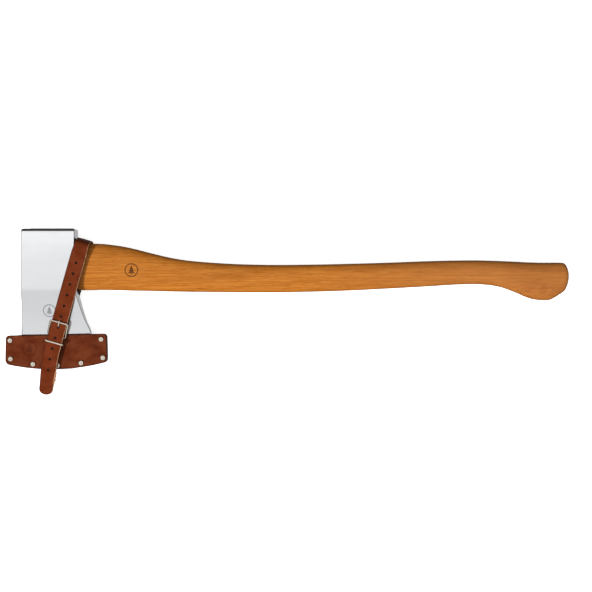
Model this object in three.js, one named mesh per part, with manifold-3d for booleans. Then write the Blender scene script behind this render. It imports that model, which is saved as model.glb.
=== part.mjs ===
// A two-handed axe lying flat on its side, with a leather edge guard strapped over its bit.
// Millimetres. While it is modelled, the middle of the head's eye is at (0, 0, 0): +X runs along the
// handle to the knob, +Y to the poll and +Z up. At the end everything is shifted, so that the origin is
// at the middle of the lowest face of the whole object's box.
import * as THREE from "three";
import { mergeVertices } from "three/addons/utils/BufferGeometryUtils.js";
import Module from "manifold-3d";

const wasm = await Module();
wasm.setup();

// ---- Driving dimensions ----
const GAP = 0.3; // between parts that touch

const HEAD_HALF_WIDTH = 39; // along the handle, at the eye
const HEAD_HALF_THICK = 19; // at the eye
const POLL_Y = 56;
const BIT_Y = -137; // lowest point of the cutting edge
const BIT_RADIUS = 290;
const BIT_CENTRE_X = 4;
const EYE_LENGTH = 62;
const EYE_WIDTH = 24;

const HANDLE_END_X = 760.6;

const LEATHER = 3; // guard panels and strap
const WELT = 4;
const WELT_WIDTH = 12;
const GUARD_LEFT_X = -64.4;
const GUARD_RIGHT_X = 85.2;
const GUARD_TOP_LEFT_Y = -100.6;
const GUARD_TOP_RIGHT_Y = -98;
const GUARD_BOTTOM_Y = -150.2;
const GUARD_RADIUS = 305;
const GUARD_ARC_X = 4;
const GUARD_CORNER = 5; // of the mouth's two ends
const LEFT_CORNER_RISE = 8.5; // from the bottom line to an end's straight part
const RIGHT_CORNER_RISE = 4.6;
const BULGE = 3.6; // how far each panel swells over the thick part of the bit

const STRAP_WIDTH = 23;
const STRAP_TILT = THREE.MathUtils.degToRad(15.9);
const TAIL_TILT = THREE.MathUtils.degToRad(8);
const STRAP_TOP = { x: 52.1, y: 39.2 }; // middle of the strap where it folds over the handle
const STRAP_END_S = 233.3; // distance of the tail's tip from the fold, seen square on
const STRAP_ANCHOR_S = 178; // the same for the fixed end, on the back panel
const FOLD_S = 9;
const FOLD_SQUEEZE = 0.75; // how much narrower each half of the strap is in the fold
const OVER_CHEEK = HEAD_HALF_THICK + 0.4; // height of the strap's inner face on the cheek
const HOLE_PITCH = 16.3;
const HOLE_RADIUS = 2.2;
const PRONG_HOLE_S = 132.7;
const HOLES_ABOVE = 6;
const HOLES_BELOW = 4;

const CHAPE_WIDTH = 20;
const CHAPE_THICK = 2;
const CHAPE_END_S = 180.5;
const HEEL = { s: 146, z: 12.65 }; // the buckle's heel bar
const TOP_BAR = { s: 125, z: 22.1 }; // the bar that the prong rests on
const WIRE_RADIUS = 1.3;
const FRAME_HALF_WIDTH = 13.1; // to the middle of the wire
const PRONG_HALF_THICK = 0.9;
const PRONG_HALF_WIDTH = 1.25;
const KEEPER_S = 155.7;
const KEEPER_HALF_WIDTH = 13.5;
const KEEPER_WIDE = 2.6;
const KEEPER_THICK = 1.5;

const RIVET_CAP_RADIUS = 4;
const RIVET_CAP_HEIGHT = 1.7;
const RIVET_SHANK_RADIUS = 1.6;

// ---- Small helpers ----
const smooth = (t) => {
  const c = THREE.MathUtils.clamp(t, 0, 1);
  return c * c * (3 - 2 * c);
};

// Piecewise linear interpolation in a list of [x, value] pairs.
function along(list, x) {
  let i = 1;
  while (i < list.length - 1 && x > list[i][0]) i++;
  const [x0, y0] = list[i - 1];
  const [x1, y1] = list[i];
  return y0 + ((y1 - y0) * (x - x0)) / (x1 - x0);
}

function solidOf(geometry) {
  const bare = geometry.index ? geometry.toNonIndexed() : geometry.clone();
  bare.deleteAttribute("normal");
  bare.deleteAttribute("uv");
  const merged = mergeVertices(bare, 1e-4);
  return new wasm.Manifold(
    new wasm.Mesh({
      numProp: 3,
      vertProperties: merged.attributes.position.array,
      triVerts: new Uint32Array(merged.index.array),
    }),
  );
}

function geometryOf(manifold) {
  const mesh = manifold.getMesh();
  const geometry = new THREE.BufferGeometry();
  geometry.setAttribute("position", new THREE.BufferAttribute(mesh.vertProperties, mesh.numProp));
  geometry.setIndex(new THREE.BufferAttribute(mesh.triVerts, 1));
  const flat = geometry.toNonIndexed();
  flat.computeVertexNormals();
  return flat;
}

// A closed skin over rings of points that run anticlockwise seen from the last ring's side.
function loft(rings, { closed = false } = {}) {
  const count = rings[0].length;
  const positions = rings.flat().flatMap((p) => [p.x, p.y, p.z]);
  const faces = [];
  const spans = closed ? rings.length : rings.length - 1;
  for (let i = 0; i < spans; i++) {
    const a = i * count;
    const b = ((i + 1) % rings.length) * count;
    for (let j = 0; j < count; j++) {
      const k = (j + 1) % count;
      faces.push(a + j, a + k, b + k, a + j, b + k, b + j);
    }
  }
  if (!closed) {
    const last = (rings.length - 1) * count;
    for (let j = 1; j < count - 1; j++) {
      faces.push(0, j + 1, j);
      faces.push(last, last + j, last + j + 1);
    }
  }
  const geometry = new THREE.BufferGeometry();
  geometry.setAttribute("position", new THREE.Float32BufferAttribute(positions, 3));
  geometry.setIndex(faces);
  return geometry.toNonIndexed();
}

// A prism from a 2-D shape, between two heights.
function prism(shape, z0, z1, curveSegments = 12) {
  const geometry = new THREE.ExtrudeGeometry(shape, { depth: z1 - z0, bevelEnabled: false, curveSegments });
  return geometry.translate(0, 0, z0);
}

function turned(profile, segments = 16) {
  const points = profile.map(([r, h]) => new THREE.Vector2(r, h));
  return new THREE.LatheGeometry(points, segments).rotateX(Math.PI / 2);
}

// ---- Finishes ----
const finish = (color, roughness, metalness = 0) =>
  new THREE.MeshStandardMaterial({ color, roughness, metalness, flatShading: true });

const model = new THREE.Group();
function add(name, geometry, material) {
  geometry.computeVertexNormals();
  const mesh = new THREE.Mesh(geometry, material);
  mesh.name = name;
  model.add(mesh);
  return mesh;
}

// ---- Head ----
// Half of the head's thickness at each y, from the edge to the poll.
const HALF_THICKNESS = [
  [-137, 0.15],
  [-130, 1.2],
  [-122, 2],
  [-110, 3.4],
  [-97, 5.2],
  [-84, 7.2],
  [-66, 10.5],
  [-48, 14.5],
  [-32, HEAD_HALF_THICK],
  [32, HEAD_HALF_THICK],
  [46, 18.2],
  [52, 17.6],
  [POLL_Y, 13.6],
];
const RIGHT_EDGE = [
  [-137, 69.5],
  [-97, 60.2],
  [-80, 53.4],
  [-66, 48.7],
  [-48, 43.4],
  [-36, 39.9],
  [-26, HEAD_HALF_WIDTH],
  [POLL_Y, HEAD_HALF_WIDTH],
];
const LEFT_EDGE = [
  [-137, -45],
  [-112, -41.2],
  [-97, -40],
  [-66, -HEAD_HALF_WIDTH],
  [POLL_Y, -HEAD_HALF_WIDTH],
];

// One slice across the head: its line bows to the bit's arc as it nears the edge.
function headSlice(y) {
  const half = along(HALF_THICKNESS, y);
  const left = along(LEFT_EDGE, y);
  const right = along(RIGHT_EDGE, y);
  const chamfer = Math.min(1.5, half * 0.45);
  const bow = smooth((-40 - y) / 90);
  const at = (x, z) => new THREE.Vector3(x, y + (bow * (x - BIT_CENTRE_X) ** 2) / (2 * BIT_RADIUS), z);
  const across = 8;
  const top = [];
  const bottom = [];
  for (let i = 0; i <= across; i++) {
    const x = left + chamfer + ((right - left - 2 * chamfer) * i) / across;
    top.push(at(x, half));
    bottom.unshift(at(x, -half));
  }
  const edge = half - chamfer;
  return [at(left, edge), ...top, at(right, edge), at(right, -edge), ...bottom, at(left, -edge)];
}

function stadium(length, width) {
  const r = width / 2;
  const straight = length / 2 - r;
  const shape = new THREE.Shape();
  shape.moveTo(r, -straight);
  shape.lineTo(r, straight);
  shape.absarc(0, straight, r, 0, Math.PI);
  shape.lineTo(-r, -straight);
  shape.absarc(0, -straight, r, Math.PI, 2 * Math.PI);
  return shape;
}

// Turns a prism that stands along +Z, drawn with x across and y long, so that it runs along +X.
const layAlongX = (geometry) => geometry.rotateY(Math.PI / 2);

const headYs = HALF_THICKNESS.map(([y]) => y);
const eyeCut = layAlongX(prism(stadium(EYE_LENGTH, EYE_WIDTH), -60, 60));
const head = solidOf(loft(headYs.map(headSlice))).subtract(solidOf(eyeCut));
add("axe_head", geometryOf(head), finish(0xd9dadc, 0.22, 1));

// ---- Handle ----
// Stations along the handle: x, top, bottom, half thickness.
const STATIONS = [
  [-38.7, EYE_LENGTH / 2 - GAP, GAP - EYE_LENGTH / 2, EYE_WIDTH / 2 - GAP],
  [39.7, EYE_LENGTH / 2 - GAP, GAP - EYE_LENGTH / 2, EYE_WIDTH / 2 - GAP],
  [43.5, 34, -33.2, 13.8],
  [50, 34.8, -34.2, 14.5],
  [62, 34.4, -34.1, 14.4],
  [74, 34.1, -33.9, 14.2],
  [103, 30.9, -34.4, 13.6],
  [121, 27.4, -34.9, 13.2],
  [138, 23.1, -35.2, 12.8],
  [156, 18.6, -35.6, 12.5],
  [174, 14.3, -36.1, 12.3],
  [191, 11.2, -36.4, 12.1],
  [209, 8.8, -36.7, 12],
  [244, 6, -37, 11.9],
  [280, 4.1, -37.3, 11.8],
  [333, 3.1, -37.4, 11.8],
  [385, 3.6, -36.5, 11.8],
  [438, 4.7, -34.8, 11.8],
  [500, 6.5, -31.7, 11.9],
  [562, 8.8, -28.2, 12],
  [600, 9.6, -25.9, 12.3],
  [624, 9.8, -25.3, 12.6],
  [644, 9.4, -26.5, 12.9],
  [660, 8.9, -29.1, 13.3],
  [674, 8.3, -33.6, 13.8],
  [688, 7.6, -39.2, 14.2],
  [702, 6.9, -45.2, 14.6],
  [712, 6.6, -47.8, 14.9],
  [722, 6.4, -48.9, 15],
  [730, 6.4, -49, 15],
  [735, 6.4, -48.3, 15],
  [738, 6.5, -46.9, 14.9],
  [742.2, 6.5, -44.6, 14.8],
  [749.5, 6.4, -40, 14.4],
  [753.5, 6.2, -37.3, 14],
  [756.5, 4.6, -34.6, 13.4],
  [758.5, 1.8, -30.5, 12.5],
  [759.9, -1.8, -25.5, 11.7],
  [HANDLE_END_X, -5.5, -21.5, 10.8],
];

// A superellipse between the handle's top and bottom lines, blunter in the eye.
function handleSlice([x, top, bottom, half], index) {
  const points = [];
  const sides = 24;
  const power = index < 2 ? 0.62 : 0.84;
  for (let i = 0; i < sides; i++) {
    const a = (i / sides) * 2 * Math.PI;
    const c = Math.cos(a);
    const s = Math.sin(a);
    const y = (top + bottom) / 2 + ((top - bottom) / 2) * Math.sign(c) * Math.abs(c) ** power;
    points.push(new THREE.Vector3(x, y, half * Math.sign(s) * Math.abs(s) ** 0.84));
  }
  return points;
}

const WEDGE_DEPTH = 46;
const WEDGE_HALF_LENGTH = 28;
const RING_RADIUS = 9.5;
const RING_WALL = 2;
const RING_DEPTH = 13;

// A wedge in the plane of the eye, thick at the outer end. grow widens it into the kerf that it fills.
function wedgeGeometry(grow) {
  const inner = 0.8 + grow;
  const taper = 2.2 / (WEDGE_DEPTH - GAP);
  const proud = grow ? 5 : 0;
  const start = -HEAD_HALF_WIDTH + GAP - proud;
  const end = -HEAD_HALF_WIDTH + WEDGE_DEPTH + grow;
  const side = WEDGE_HALF_LENGTH + grow;
  const ring = (x, half) =>
    [
      [side, half],
      [-side, half],
      [-side, -half],
      [side, -half],
    ].map(([y, z]) => new THREE.Vector3(x, y, z));
  return loft([ring(start, 3 + grow + taper * proud), ring(end, inner)]);
}

function ringGeometry(grow) {
  const outer = RING_RADIUS + grow;
  const inner = RING_RADIUS - RING_WALL - grow;
  const start = grow ? -5 : 0.4;
  const end = RING_DEPTH + grow;
  const profile = [
    [inner, start],
    [outer, start],
    [outer, end],
    [inner, end],
    [inner, start],
  ];
  const geometry = new THREE.LatheGeometry(profile.map(([r, h]) => new THREE.Vector2(r, h)), 24);
  return geometry.rotateZ(-Math.PI / 2).translate(-HEAD_HALF_WIDTH, 0, 0);
}

const kerf = solidOf(wedgeGeometry(GAP));
const ringSlot = solidOf(ringGeometry(GAP));
const handleBlank = solidOf(loft(STATIONS.map(handleSlice)));
const eyeFill = solidOf(layAlongX(prism(stadium(EYE_LENGTH - 2 * GAP, EYE_WIDTH - 2 * GAP), -200, 40)));
const beyondEye = solidOf(new THREE.BoxGeometry(900, 200, 100).translate(39.5 + 450, 0, 0));
const handle = handleBlank.intersect(eyeFill.add(beyondEye)).subtract(kerf).subtract(ringSlot);
add("handle", geometryOf(handle), finish(0xc47a2c, 0.5));
const wedge = solidOf(wedgeGeometry(0)).subtract(ringSlot);
add("wooden_wedge", geometryOf(wedge), finish(0xa8703a, 0.6));
add("ring_wedge", ringGeometry(0), finish(0x9a9a9c, 0.35, 1));

// ---- Guard ----
const guardArc = (x, radius, lowest) => lowest + radius - Math.sqrt(radius ** 2 - (x - GUARD_ARC_X) ** 2);

// The guard's outline: a nearly straight mouth, two ends, and an arc that follows the bit.
function guardOutline() {
  const bottom = (x) => guardArc(x, GUARD_RADIUS, GUARD_BOTTOM_Y);
  const topLeft = GUARD_LEFT_X + 0.6;
  const topRight = GUARD_RIGHT_X - 1;
  const leftTurn = GUARD_LEFT_X + 7;
  const rightTurn = GUARD_RIGHT_X - 4;
  const leftLow = bottom(GUARD_LEFT_X) + LEFT_CORNER_RISE;
  const rightLow = bottom(GUARD_RIGHT_X) + RIGHT_CORNER_RISE;
  const shape = new THREE.Shape();
  shape.moveTo(topRight - GUARD_CORNER, GUARD_TOP_RIGHT_Y);
  shape.lineTo(topLeft + GUARD_CORNER, GUARD_TOP_LEFT_Y);
  shape.quadraticCurveTo(topLeft, GUARD_TOP_LEFT_Y, topLeft, GUARD_TOP_LEFT_Y - GUARD_CORNER);
  shape.lineTo(GUARD_LEFT_X, leftLow);
  shape.quadraticCurveTo(GUARD_LEFT_X, bottom(GUARD_LEFT_X) + 4.5, leftTurn, bottom(leftTurn));
  const steps = 14;
  for (let i = 1; i <= steps; i++) {
    const x = leftTurn + ((rightTurn - leftTurn) * i) / steps;
    shape.lineTo(x, bottom(x));
  }
  shape.quadraticCurveTo(GUARD_RIGHT_X, bottom(GUARD_RIGHT_X) + 0.6, GUARD_RIGHT_X, rightLow);
  shape.lineTo(topRight, GUARD_TOP_RIGHT_Y - GUARD_CORNER);
  shape.quadraticCurveTo(topRight, GUARD_TOP_RIGHT_Y, topRight - GUARD_CORNER, GUARD_TOP_RIGHT_Y);
  return shape;
}

// The room for the bit between the panels, open at the mouth.
function pocketOutline() {
  const left = GUARD_LEFT_X + WELT_WIDTH;
  const right = GUARD_RIGHT_X - WELT_WIDTH;
  const shape = new THREE.Shape();
  shape.moveTo(right, 0);
  shape.lineTo(left, 0);
  const steps = 14;
  for (let i = 0; i <= steps; i++) {
    const x = left + ((right - left) * i) / steps;
    shape.lineTo(x, guardArc(x, GUARD_RADIUS - WELT_WIDTH, GUARD_BOTTOM_Y + WELT_WIDTH));
  }
  return shape;
}

// Height of a panel's inner face over the middle plane: on the welt at the edges, swelled over the bit.
function panelInner(x, y) {
  const across = smooth((x + 53) / 13) * smooth((73 - x) / 13);
  const down = THREE.MathUtils.clamp((y + 136) / 38, 0, 1);
  return WELT / 2 + GAP + BULGE * across * down;
}
const panelOuter = (x, y) => panelInner(x, y) + LEATHER;

// A swelled slab over the guard's whole area, cut to its outline.
function panelSolid(side) {
  const columns = 30;
  const rows = 9;
  const rings = [];
  for (let i = 0; i <= columns; i++) {
    const x = GUARD_LEFT_X - 6 + ((GUARD_RIGHT_X - GUARD_LEFT_X + 12) * i) / columns;
    const outer = [];
    const inner = [];
    for (let j = 0; j <= rows; j++) {
      const y = GUARD_BOTTOM_Y - 4 + ((GUARD_TOP_RIGHT_Y - GUARD_BOTTOM_Y + 8) * j) / rows;
      inner.push(new THREE.Vector3(x, y, side * panelInner(x, y)));
      outer.unshift(new THREE.Vector3(x, y, side * panelOuter(x, y)));
    }
    const ring = [...inner, ...outer];
    rings.push(side > 0 ? ring : ring.reverse());
  }
  return solidOf(loft(rings)).intersect(solidOf(prism(guardOutline(), -40, 40)));
}

const EDGE_RIVETS = [
  [-57.4, -107.8],
  [-56.6, -134.8],
  [-23.7, -142.6],
  [12, -144.4],
  [46.8, -140.8],
  [78.7, -133.1],
  [76.1, -106],
];
const DRILL_LENGTH = 60;
const drill = (x, y, radius) => {
  const tool = new THREE.CylinderGeometry(radius, radius, DRILL_LENGTH, 14);
  return solidOf(tool.rotateX(Math.PI / 2).translate(x, y, 0));
};
const edgeDrills = EDGE_RIVETS.map(([x, y]) => drill(x, y, RIVET_SHANK_RADIUS + GAP));
const drillAll = (solid, drills) => drills.reduce((left, tool) => left.subtract(tool), solid);

// ---- The strap's line: distance from the fold, seen square on, turned into a place ----
function strapPlace(s) {
  const bendStart = 165;
  const bendLength = 30;
  const straight = Math.min(s, bendStart);
  let x = STRAP_TOP.x - straight * Math.sin(STRAP_TILT);
  let y = STRAP_TOP.y - straight * Math.cos(STRAP_TILT);
  let tilt = STRAP_TILT;
  const step = 1;
  for (let t = bendStart; t < s; t += step) {
    const part = Math.min(step, s - t);
    tilt = THREE.MathUtils.lerp(STRAP_TILT, TAIL_TILT, smooth((t - bendStart) / bendLength));
    x -= part * Math.sin(tilt);
    y -= part * Math.cos(tilt);
  }
  return { x, y, tilt };
}

// A point of anything that follows the strap: s along it, w across it, z up.
function onStrap(s, w, z) {
  const { x, y, tilt } = strapPlace(s);
  return new THREE.Vector3(x + w * Math.cos(tilt), y - w * Math.sin(tilt), z);
}

// Outer height of the panel under the strap's middle, with room for the panel's swell across the strap.
function seat(s) {
  const { x, y } = strapPlace(s);
  return panelOuter(x, y) + 0.65;
}

const CHAPE_STACK = 2 * CHAPE_THICK;
const RIVET_HEAD = 1.2;
const BURR_ROOM = 0.38; // from a panel's inner face to a rivet's burr, because the panel slopes
const CHAPE_RIVETS_S = [168.5, 176];
const STRAP_RIVETS_S = [161.5, 170.5];

// Heights of the strap's middle line, front side: s and z.
const HALF_LEATHER = LEATHER / 2;
const FRONT_LEG = [
  [20, OVER_CHEEK + HALF_LEATHER],
  [40, OVER_CHEEK + HALF_LEATHER],
  [62, OVER_CHEEK + HALF_LEATHER],
  [73, 19.3 + HALF_LEATHER],
  [90, 18.7 + HALF_LEATHER],
  [107, 18.1 + HALF_LEATHER],
  [122, 17.5 + HALF_LEATHER],
  [132.7, 17.1 + HALF_LEATHER],
  [140, 16.8 + HALF_LEATHER],
  [146, 16.6 + HALF_LEATHER],
  [151, 16 + HALF_LEATHER],
  [157, 15 + HALF_LEATHER],
  [163.5, 14.2 + HALF_LEATHER],
  [171.5, 13.4 + HALF_LEATHER],
  [181, 12.1 + HALF_LEATHER],
  [193, 10.3 + HALF_LEATHER],
  [206, 9 + HALF_LEATHER],
  [218, 8.3 + HALF_LEATHER],
];
const BACK_LEG = [
  [20, -OVER_CHEEK - HALF_LEATHER],
  [45, -OVER_CHEEK - HALF_LEATHER],
  [78, -OVER_CHEEK - HALF_LEATHER],
  [107, -15 - HALF_LEATHER],
  [137, -seat(141) - HALF_LEATHER - 0.4],
  [144, -seat(144) - HALF_LEATHER],
  [152, -seat(152) - HALF_LEATHER],
  [160, -seat(160) - HALF_LEATHER],
];

// Rows of a flexible strip: its middle line (s, z) and its half width at each row.
function strapRows() {
  const rows = [];
  const half = STRAP_WIDTH / 2;
  const tipSteps = 5;
  const tip = (end, height) => {
    for (let i = 0; i < tipSteps; i++) {
      const a = (i / tipSteps) * (Math.PI / 2) * 0.98;
      const s = end - half + half * Math.sin(a);
      rows.push({ s, z: height(s), half: half * Math.cos(a) });
    }
    rows.push({ s: end, z: height(end), half: half * 0.12 });
  };
  tip(STRAP_END_S, (s) => 8.3 + HALF_LEATHER - (s - 218) * 0.04);
  rows.reverse();
  for (const [s, z] of [...FRONT_LEG].reverse()) rows.push({ s, z, half });
  const foldSteps = 8;
  for (let i = 0; i <= foldSteps; i++) {
    const a = Math.PI / 2 - (i / foldSteps) * Math.PI;
    const z = (OVER_CHEEK + HALF_LEATHER) * Math.sin(a);
    rows.push({ s: FOLD_S * (1 - Math.cos(a)), z, half: half - FOLD_SQUEEZE });
  }
  for (const [s, z] of BACK_LEG) rows.push({ s, z, half });
  const start = rows.length;
  tip(STRAP_ANCHOR_S, (s) => -seat(s) - HALF_LEATHER);
  return rows.filter((row, i) => i < start || row.s > 163);
}

// The strip's four corners at each row, square to its middle line.
function strapGeometry(rows) {
  const rings = rows.map((row, i) => {
    const before = rows[Math.max(i - 1, 0)];
    const after = rows[Math.min(i + 1, rows.length - 1)];
    const run = new THREE.Vector2(after.s - before.s, after.z - before.z).normalize();
    const [ns, nz] = [-run.y * HALF_LEATHER, run.x * HALF_LEATHER];
    return [
      onStrap(row.s + ns, row.half, row.z + nz),
      onStrap(row.s + ns, -row.half, row.z + nz),
      onStrap(row.s - ns, -row.half, row.z - nz),
      onStrap(row.s - ns, row.half, row.z - nz),
    ];
  });
  return loft(rings);
}

// Holes in the front leg, at an even pitch along the leather, square to it.
function strapHoles() {
  const line = [...FRONT_LEG];
  const lengths = [0];
  for (let i = 1; i < line.length; i++) {
    const step = Math.hypot(line[i][0] - line[i - 1][0], line[i][1] - line[i - 1][1]);
    lengths.push(lengths[i - 1] + step);
  }
  const lengthAt = (s) => along(line.map(([at], i) => [at, lengths[i]]), s);
  const placeAt = (length) => along(lengths.map((at, i) => [at, line[i][0]]), length);
  const prongAt = lengthAt(PRONG_HOLE_S);
  const tools = [];
  for (let k = -HOLES_ABOVE; k <= HOLES_BELOW; k++) {
    const s = placeAt(prongAt + k * HOLE_PITCH);
    const z = along(line, s);
    const slope = (along(line, s + 1) - along(line, s - 1)) / 2;
    const centre = onStrap(s, 0, z);
    const tool = new THREE.CylinderGeometry(HOLE_RADIUS, HOLE_RADIUS, 8, 12).rotateX(Math.PI / 2);
    const { tilt } = strapPlace(s);
    tool.rotateX(Math.atan(slope)).rotateZ(-tilt).translate(centre.x, centre.y, centre.z);
    tools.push(solidOf(tool));
  }
  return tools;
}

const stationDrill = (s, radius) => {
  const { x, y } = strapPlace(s);
  return drill(x, y, radius);
};
const chapeDrills = CHAPE_RIVETS_S.map((s) => stationDrill(s, RIVET_SHANK_RADIUS + GAP));
const strapDrills = STRAP_RIVETS_S.map((s) => stationDrill(s, RIVET_SHANK_RADIUS + GAP));

const frontPanel = drillAll(panelSolid(1), [...edgeDrills, ...chapeDrills]);
const backPanel = drillAll(panelSolid(-1), [...edgeDrills, ...strapDrills]);
const weltSlab = solidOf(prism(guardOutline(), -WELT / 2, WELT / 2));
const welt = drillAll(weltSlab.subtract(solidOf(prism(pocketOutline(), -20, 20))), edgeDrills);
add("guard_front_panel", geometryOf(frontPanel), finish(0x6e3222, 0.6));
add("guard_back_panel", geometryOf(backPanel), finish(0x6e3222, 0.6));
add("guard_welt", geometryOf(welt), finish(0x8a5232, 0.7));

// The highest of the panel's outer face under a round head.
function headSeat(x, y, radius) {
  const around = [0, 1, 2, 3, 4, 5, 6, 7].map((i) => {
    const a = (i * Math.PI) / 4;
    return panelOuter(x + radius * Math.cos(a), y + radius * Math.sin(a));
  });
  return Math.max(...around) + 0.35;
}

// Two-part rivets: the cap's tube takes the post.
function rivetCap(x, y) {
  const face = headSeat(x, y, RIVET_CAP_RADIUS);
  const h = RIVET_CAP_HEIGHT;
  const bore = 1;
  const profile = [
    [0, face + 0.55],
    [bore, face + 0.5],
    [bore, 0.5],
    [RIVET_SHANK_RADIUS, 0.5],
    [RIVET_SHANK_RADIUS, face],
    [RIVET_CAP_RADIUS, face],
    [RIVET_CAP_RADIUS, face + 0.5],
    [3.2, face + h],
    [1.5, face + h],
    [0, face + h - 0.5],
  ];
  return turned(profile).translate(x, y, 0);
}

function rivetPost(x, y) {
  const face = headSeat(x, y, 3.6);
  const profile = [
    [0, -face - 1.2],
    [2.8, -face - 1.2],
    [3.6, -face - 0.5],
    [3.6, -face],
    [0.7, -face],
    [0.7, face + 0.1],
    [0, face + 0.1],
  ];
  return turned(profile).translate(x, y, 0);
}

// A short solid rivet through leather: its big head outside and its burr inside the guard.
function tackRivet(s, outer, inner, side) {
  const { x, y } = strapPlace(s);
  const profile = [
    [0, inner - 0.45],
    [2.6, inner - 0.45],
    [2.6, inner],
    [RIVET_SHANK_RADIUS, inner],
    [RIVET_SHANK_RADIUS, outer],
    [3.6, outer],
    [3.2, outer + 0.8],
    [1.6, outer + RIVET_HEAD],
    [0, outer + RIVET_HEAD],
  ];
  const geometry = turned(profile, 14);
  if (side < 0) geometry.rotateX(Math.PI);
  return geometry.translate(x, y, 0);
}

const nickel = () => finish(0xd8d2c8, 0.28, 1);
EDGE_RIVETS.forEach(([x, y], i) => {
  add("rivet_cap_" + (i + 1), rivetCap(x, y), nickel());
  add("rivet_post_" + (i + 1), rivetPost(x, y), nickel());
});

// ---- Strap ----
const strap = drillAll(solidOf(strapGeometry(strapRows())), [...strapHoles(), ...strapDrills]);
add("strap", geometryOf(strap), finish(0x7c3820, 0.55));
STRAP_RIVETS_S.forEach((s, i) => {
  const { x, y } = strapPlace(s);
  const inner = panelInner(x, y) - BURR_ROOM;
  add("strap_rivet_" + (i + 1), tackRivet(s, seat(s) + LEATHER + 0.6, inner, -1), nickel());
});

// ---- Chape: a tab folded round the heel bar, with the keeper between its layers ----
const KEEPER_ROOM = KEEPER_THICK + 2 * GAP;
const ROOM_START_S = 151;
const ROOM_END_S = 159.5;
function chapeProfile() {
  const r = WIRE_RADIUS + GAP;
  const shape = new THREE.Shape();
  shape.moveTo(CHAPE_END_S, seat(CHAPE_END_S));
  shape.lineTo(CHAPE_END_S, seat(CHAPE_END_S) + CHAPE_STACK);
  shape.lineTo(ROOM_END_S + 4.5, seat(ROOM_END_S + 4.5) + CHAPE_STACK);
  shape.lineTo(ROOM_END_S, seat(ROOM_END_S) + CHAPE_STACK + KEEPER_ROOM);
  shape.lineTo(ROOM_START_S + 1, seat(ROOM_START_S + 1) + CHAPE_STACK + KEEPER_ROOM);
  shape.absarc(HEEL.s, HEEL.z, r + CHAPE_THICK, Math.PI / 2, 1.5 * Math.PI);
  shape.lineTo(ROOM_START_S + 1, seat(ROOM_START_S + 1));
  const hole = new THREE.Path();
  hole.moveTo(ROOM_END_S, seat(ROOM_END_S) + CHAPE_THICK);
  hole.lineTo(ROOM_END_S, seat(ROOM_END_S) + CHAPE_THICK + KEEPER_ROOM);
  hole.lineTo(ROOM_START_S, seat(ROOM_START_S) + CHAPE_THICK + KEEPER_ROOM);
  hole.absarc(HEEL.s, HEEL.z, r, Math.PI / 2, 1.5 * Math.PI);
  hole.lineTo(ROOM_START_S, seat(ROOM_START_S) + CHAPE_THICK);
  shape.holes.push(hole);
  return shape;
}

// Lays a prism drawn in (s, z), with its depth across, along the strap's line.
function layOnStrap(geometry) {
  const place = geometry.attributes.position;
  for (let i = 0; i < place.count; i++) {
    const p = onStrap(place.getX(i), -place.getZ(i), place.getY(i));
    place.setXYZ(i, p.x, p.y, p.z);
  }
  return geometry;
}

// The slot in the chape's fold that the prong swings in.
const SLOT_START_S = 141;
const SLOT_END_S = 150;
const SLOT_HALF_WIDTH = PRONG_HALF_WIDTH + 0.5;
const slotShape = new THREE.Shape([
  new THREE.Vector2(SLOT_START_S, 0),
  new THREE.Vector2(SLOT_END_S, 0),
  new THREE.Vector2(SLOT_END_S, 30),
  new THREE.Vector2(SLOT_START_S, 30),
]);
const prongSlot = layOnStrap(prism(slotShape, -SLOT_HALF_WIDTH, SLOT_HALF_WIDTH));
const chapeBlank = layOnStrap(prism(chapeProfile(), -CHAPE_WIDTH / 2, CHAPE_WIDTH / 2, 8));
const chape = drillAll(solidOf(chapeBlank), [...chapeDrills, solidOf(prongSlot)]);
add("chape", geometryOf(chape), finish(0x70341f, 0.6));
CHAPE_RIVETS_S.forEach((s, i) => {
  const { x, y } = strapPlace(s);
  const outer = seat(s) + CHAPE_STACK + 0.5;
  add("chape_rivet_" + (i + 1), tackRivet(s, outer, panelInner(x, y) - BURR_ROOM, 1), nickel());
});

// ---- Buckle ----
// A closed wire along a rounded rectangle that lies in a plane through the strap's cross direction.
function wireLoop(halfWidth, from, to, corner, ringAt) {
  const length = Math.hypot(to.s - from.s, to.z - from.z);
  const up = { s: (to.s - from.s) / length, z: (to.z - from.z) / length };
  const rings = [];
  const quarter = 4;
  const corners = [
    [halfWidth - corner, length - corner, 0],
    [-halfWidth + corner, length - corner, 1],
    [-halfWidth + corner, corner, 2],
    [halfWidth - corner, corner, 3],
  ];
  for (const [cw, cl, turn] of corners) {
    for (let i = 0; i <= quarter; i++) {
      const a = (turn + i / quarter) * (Math.PI / 2);
      const out = [Math.cos(a), Math.sin(a)];
      const w = cw + corner * out[0];
      const l = cl + corner * out[1];
      rings.push(
        ringAt.map(([o, n]) => {
          const wo = w + o * out[0];
          const lo = l + o * out[1];
          return onStrap(from.s + up.s * lo - up.z * n, wo, from.z + up.z * lo + up.s * n);
        }),
      );
    }
  }
  return loft(rings, { closed: true });
}

const roundSection = (radius, sides) =>
  Array.from({ length: sides }, (_, i) => {
    const a = (i / sides) * 2 * Math.PI;
    return [radius * Math.cos(a), radius * Math.sin(a)];
  });

const buckle = wireLoop(FRAME_HALF_WIDTH, HEEL, TOP_BAR, 3, roundSection(WIRE_RADIUS, 8));
add("buckle_frame", buckle, nickel());

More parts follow.
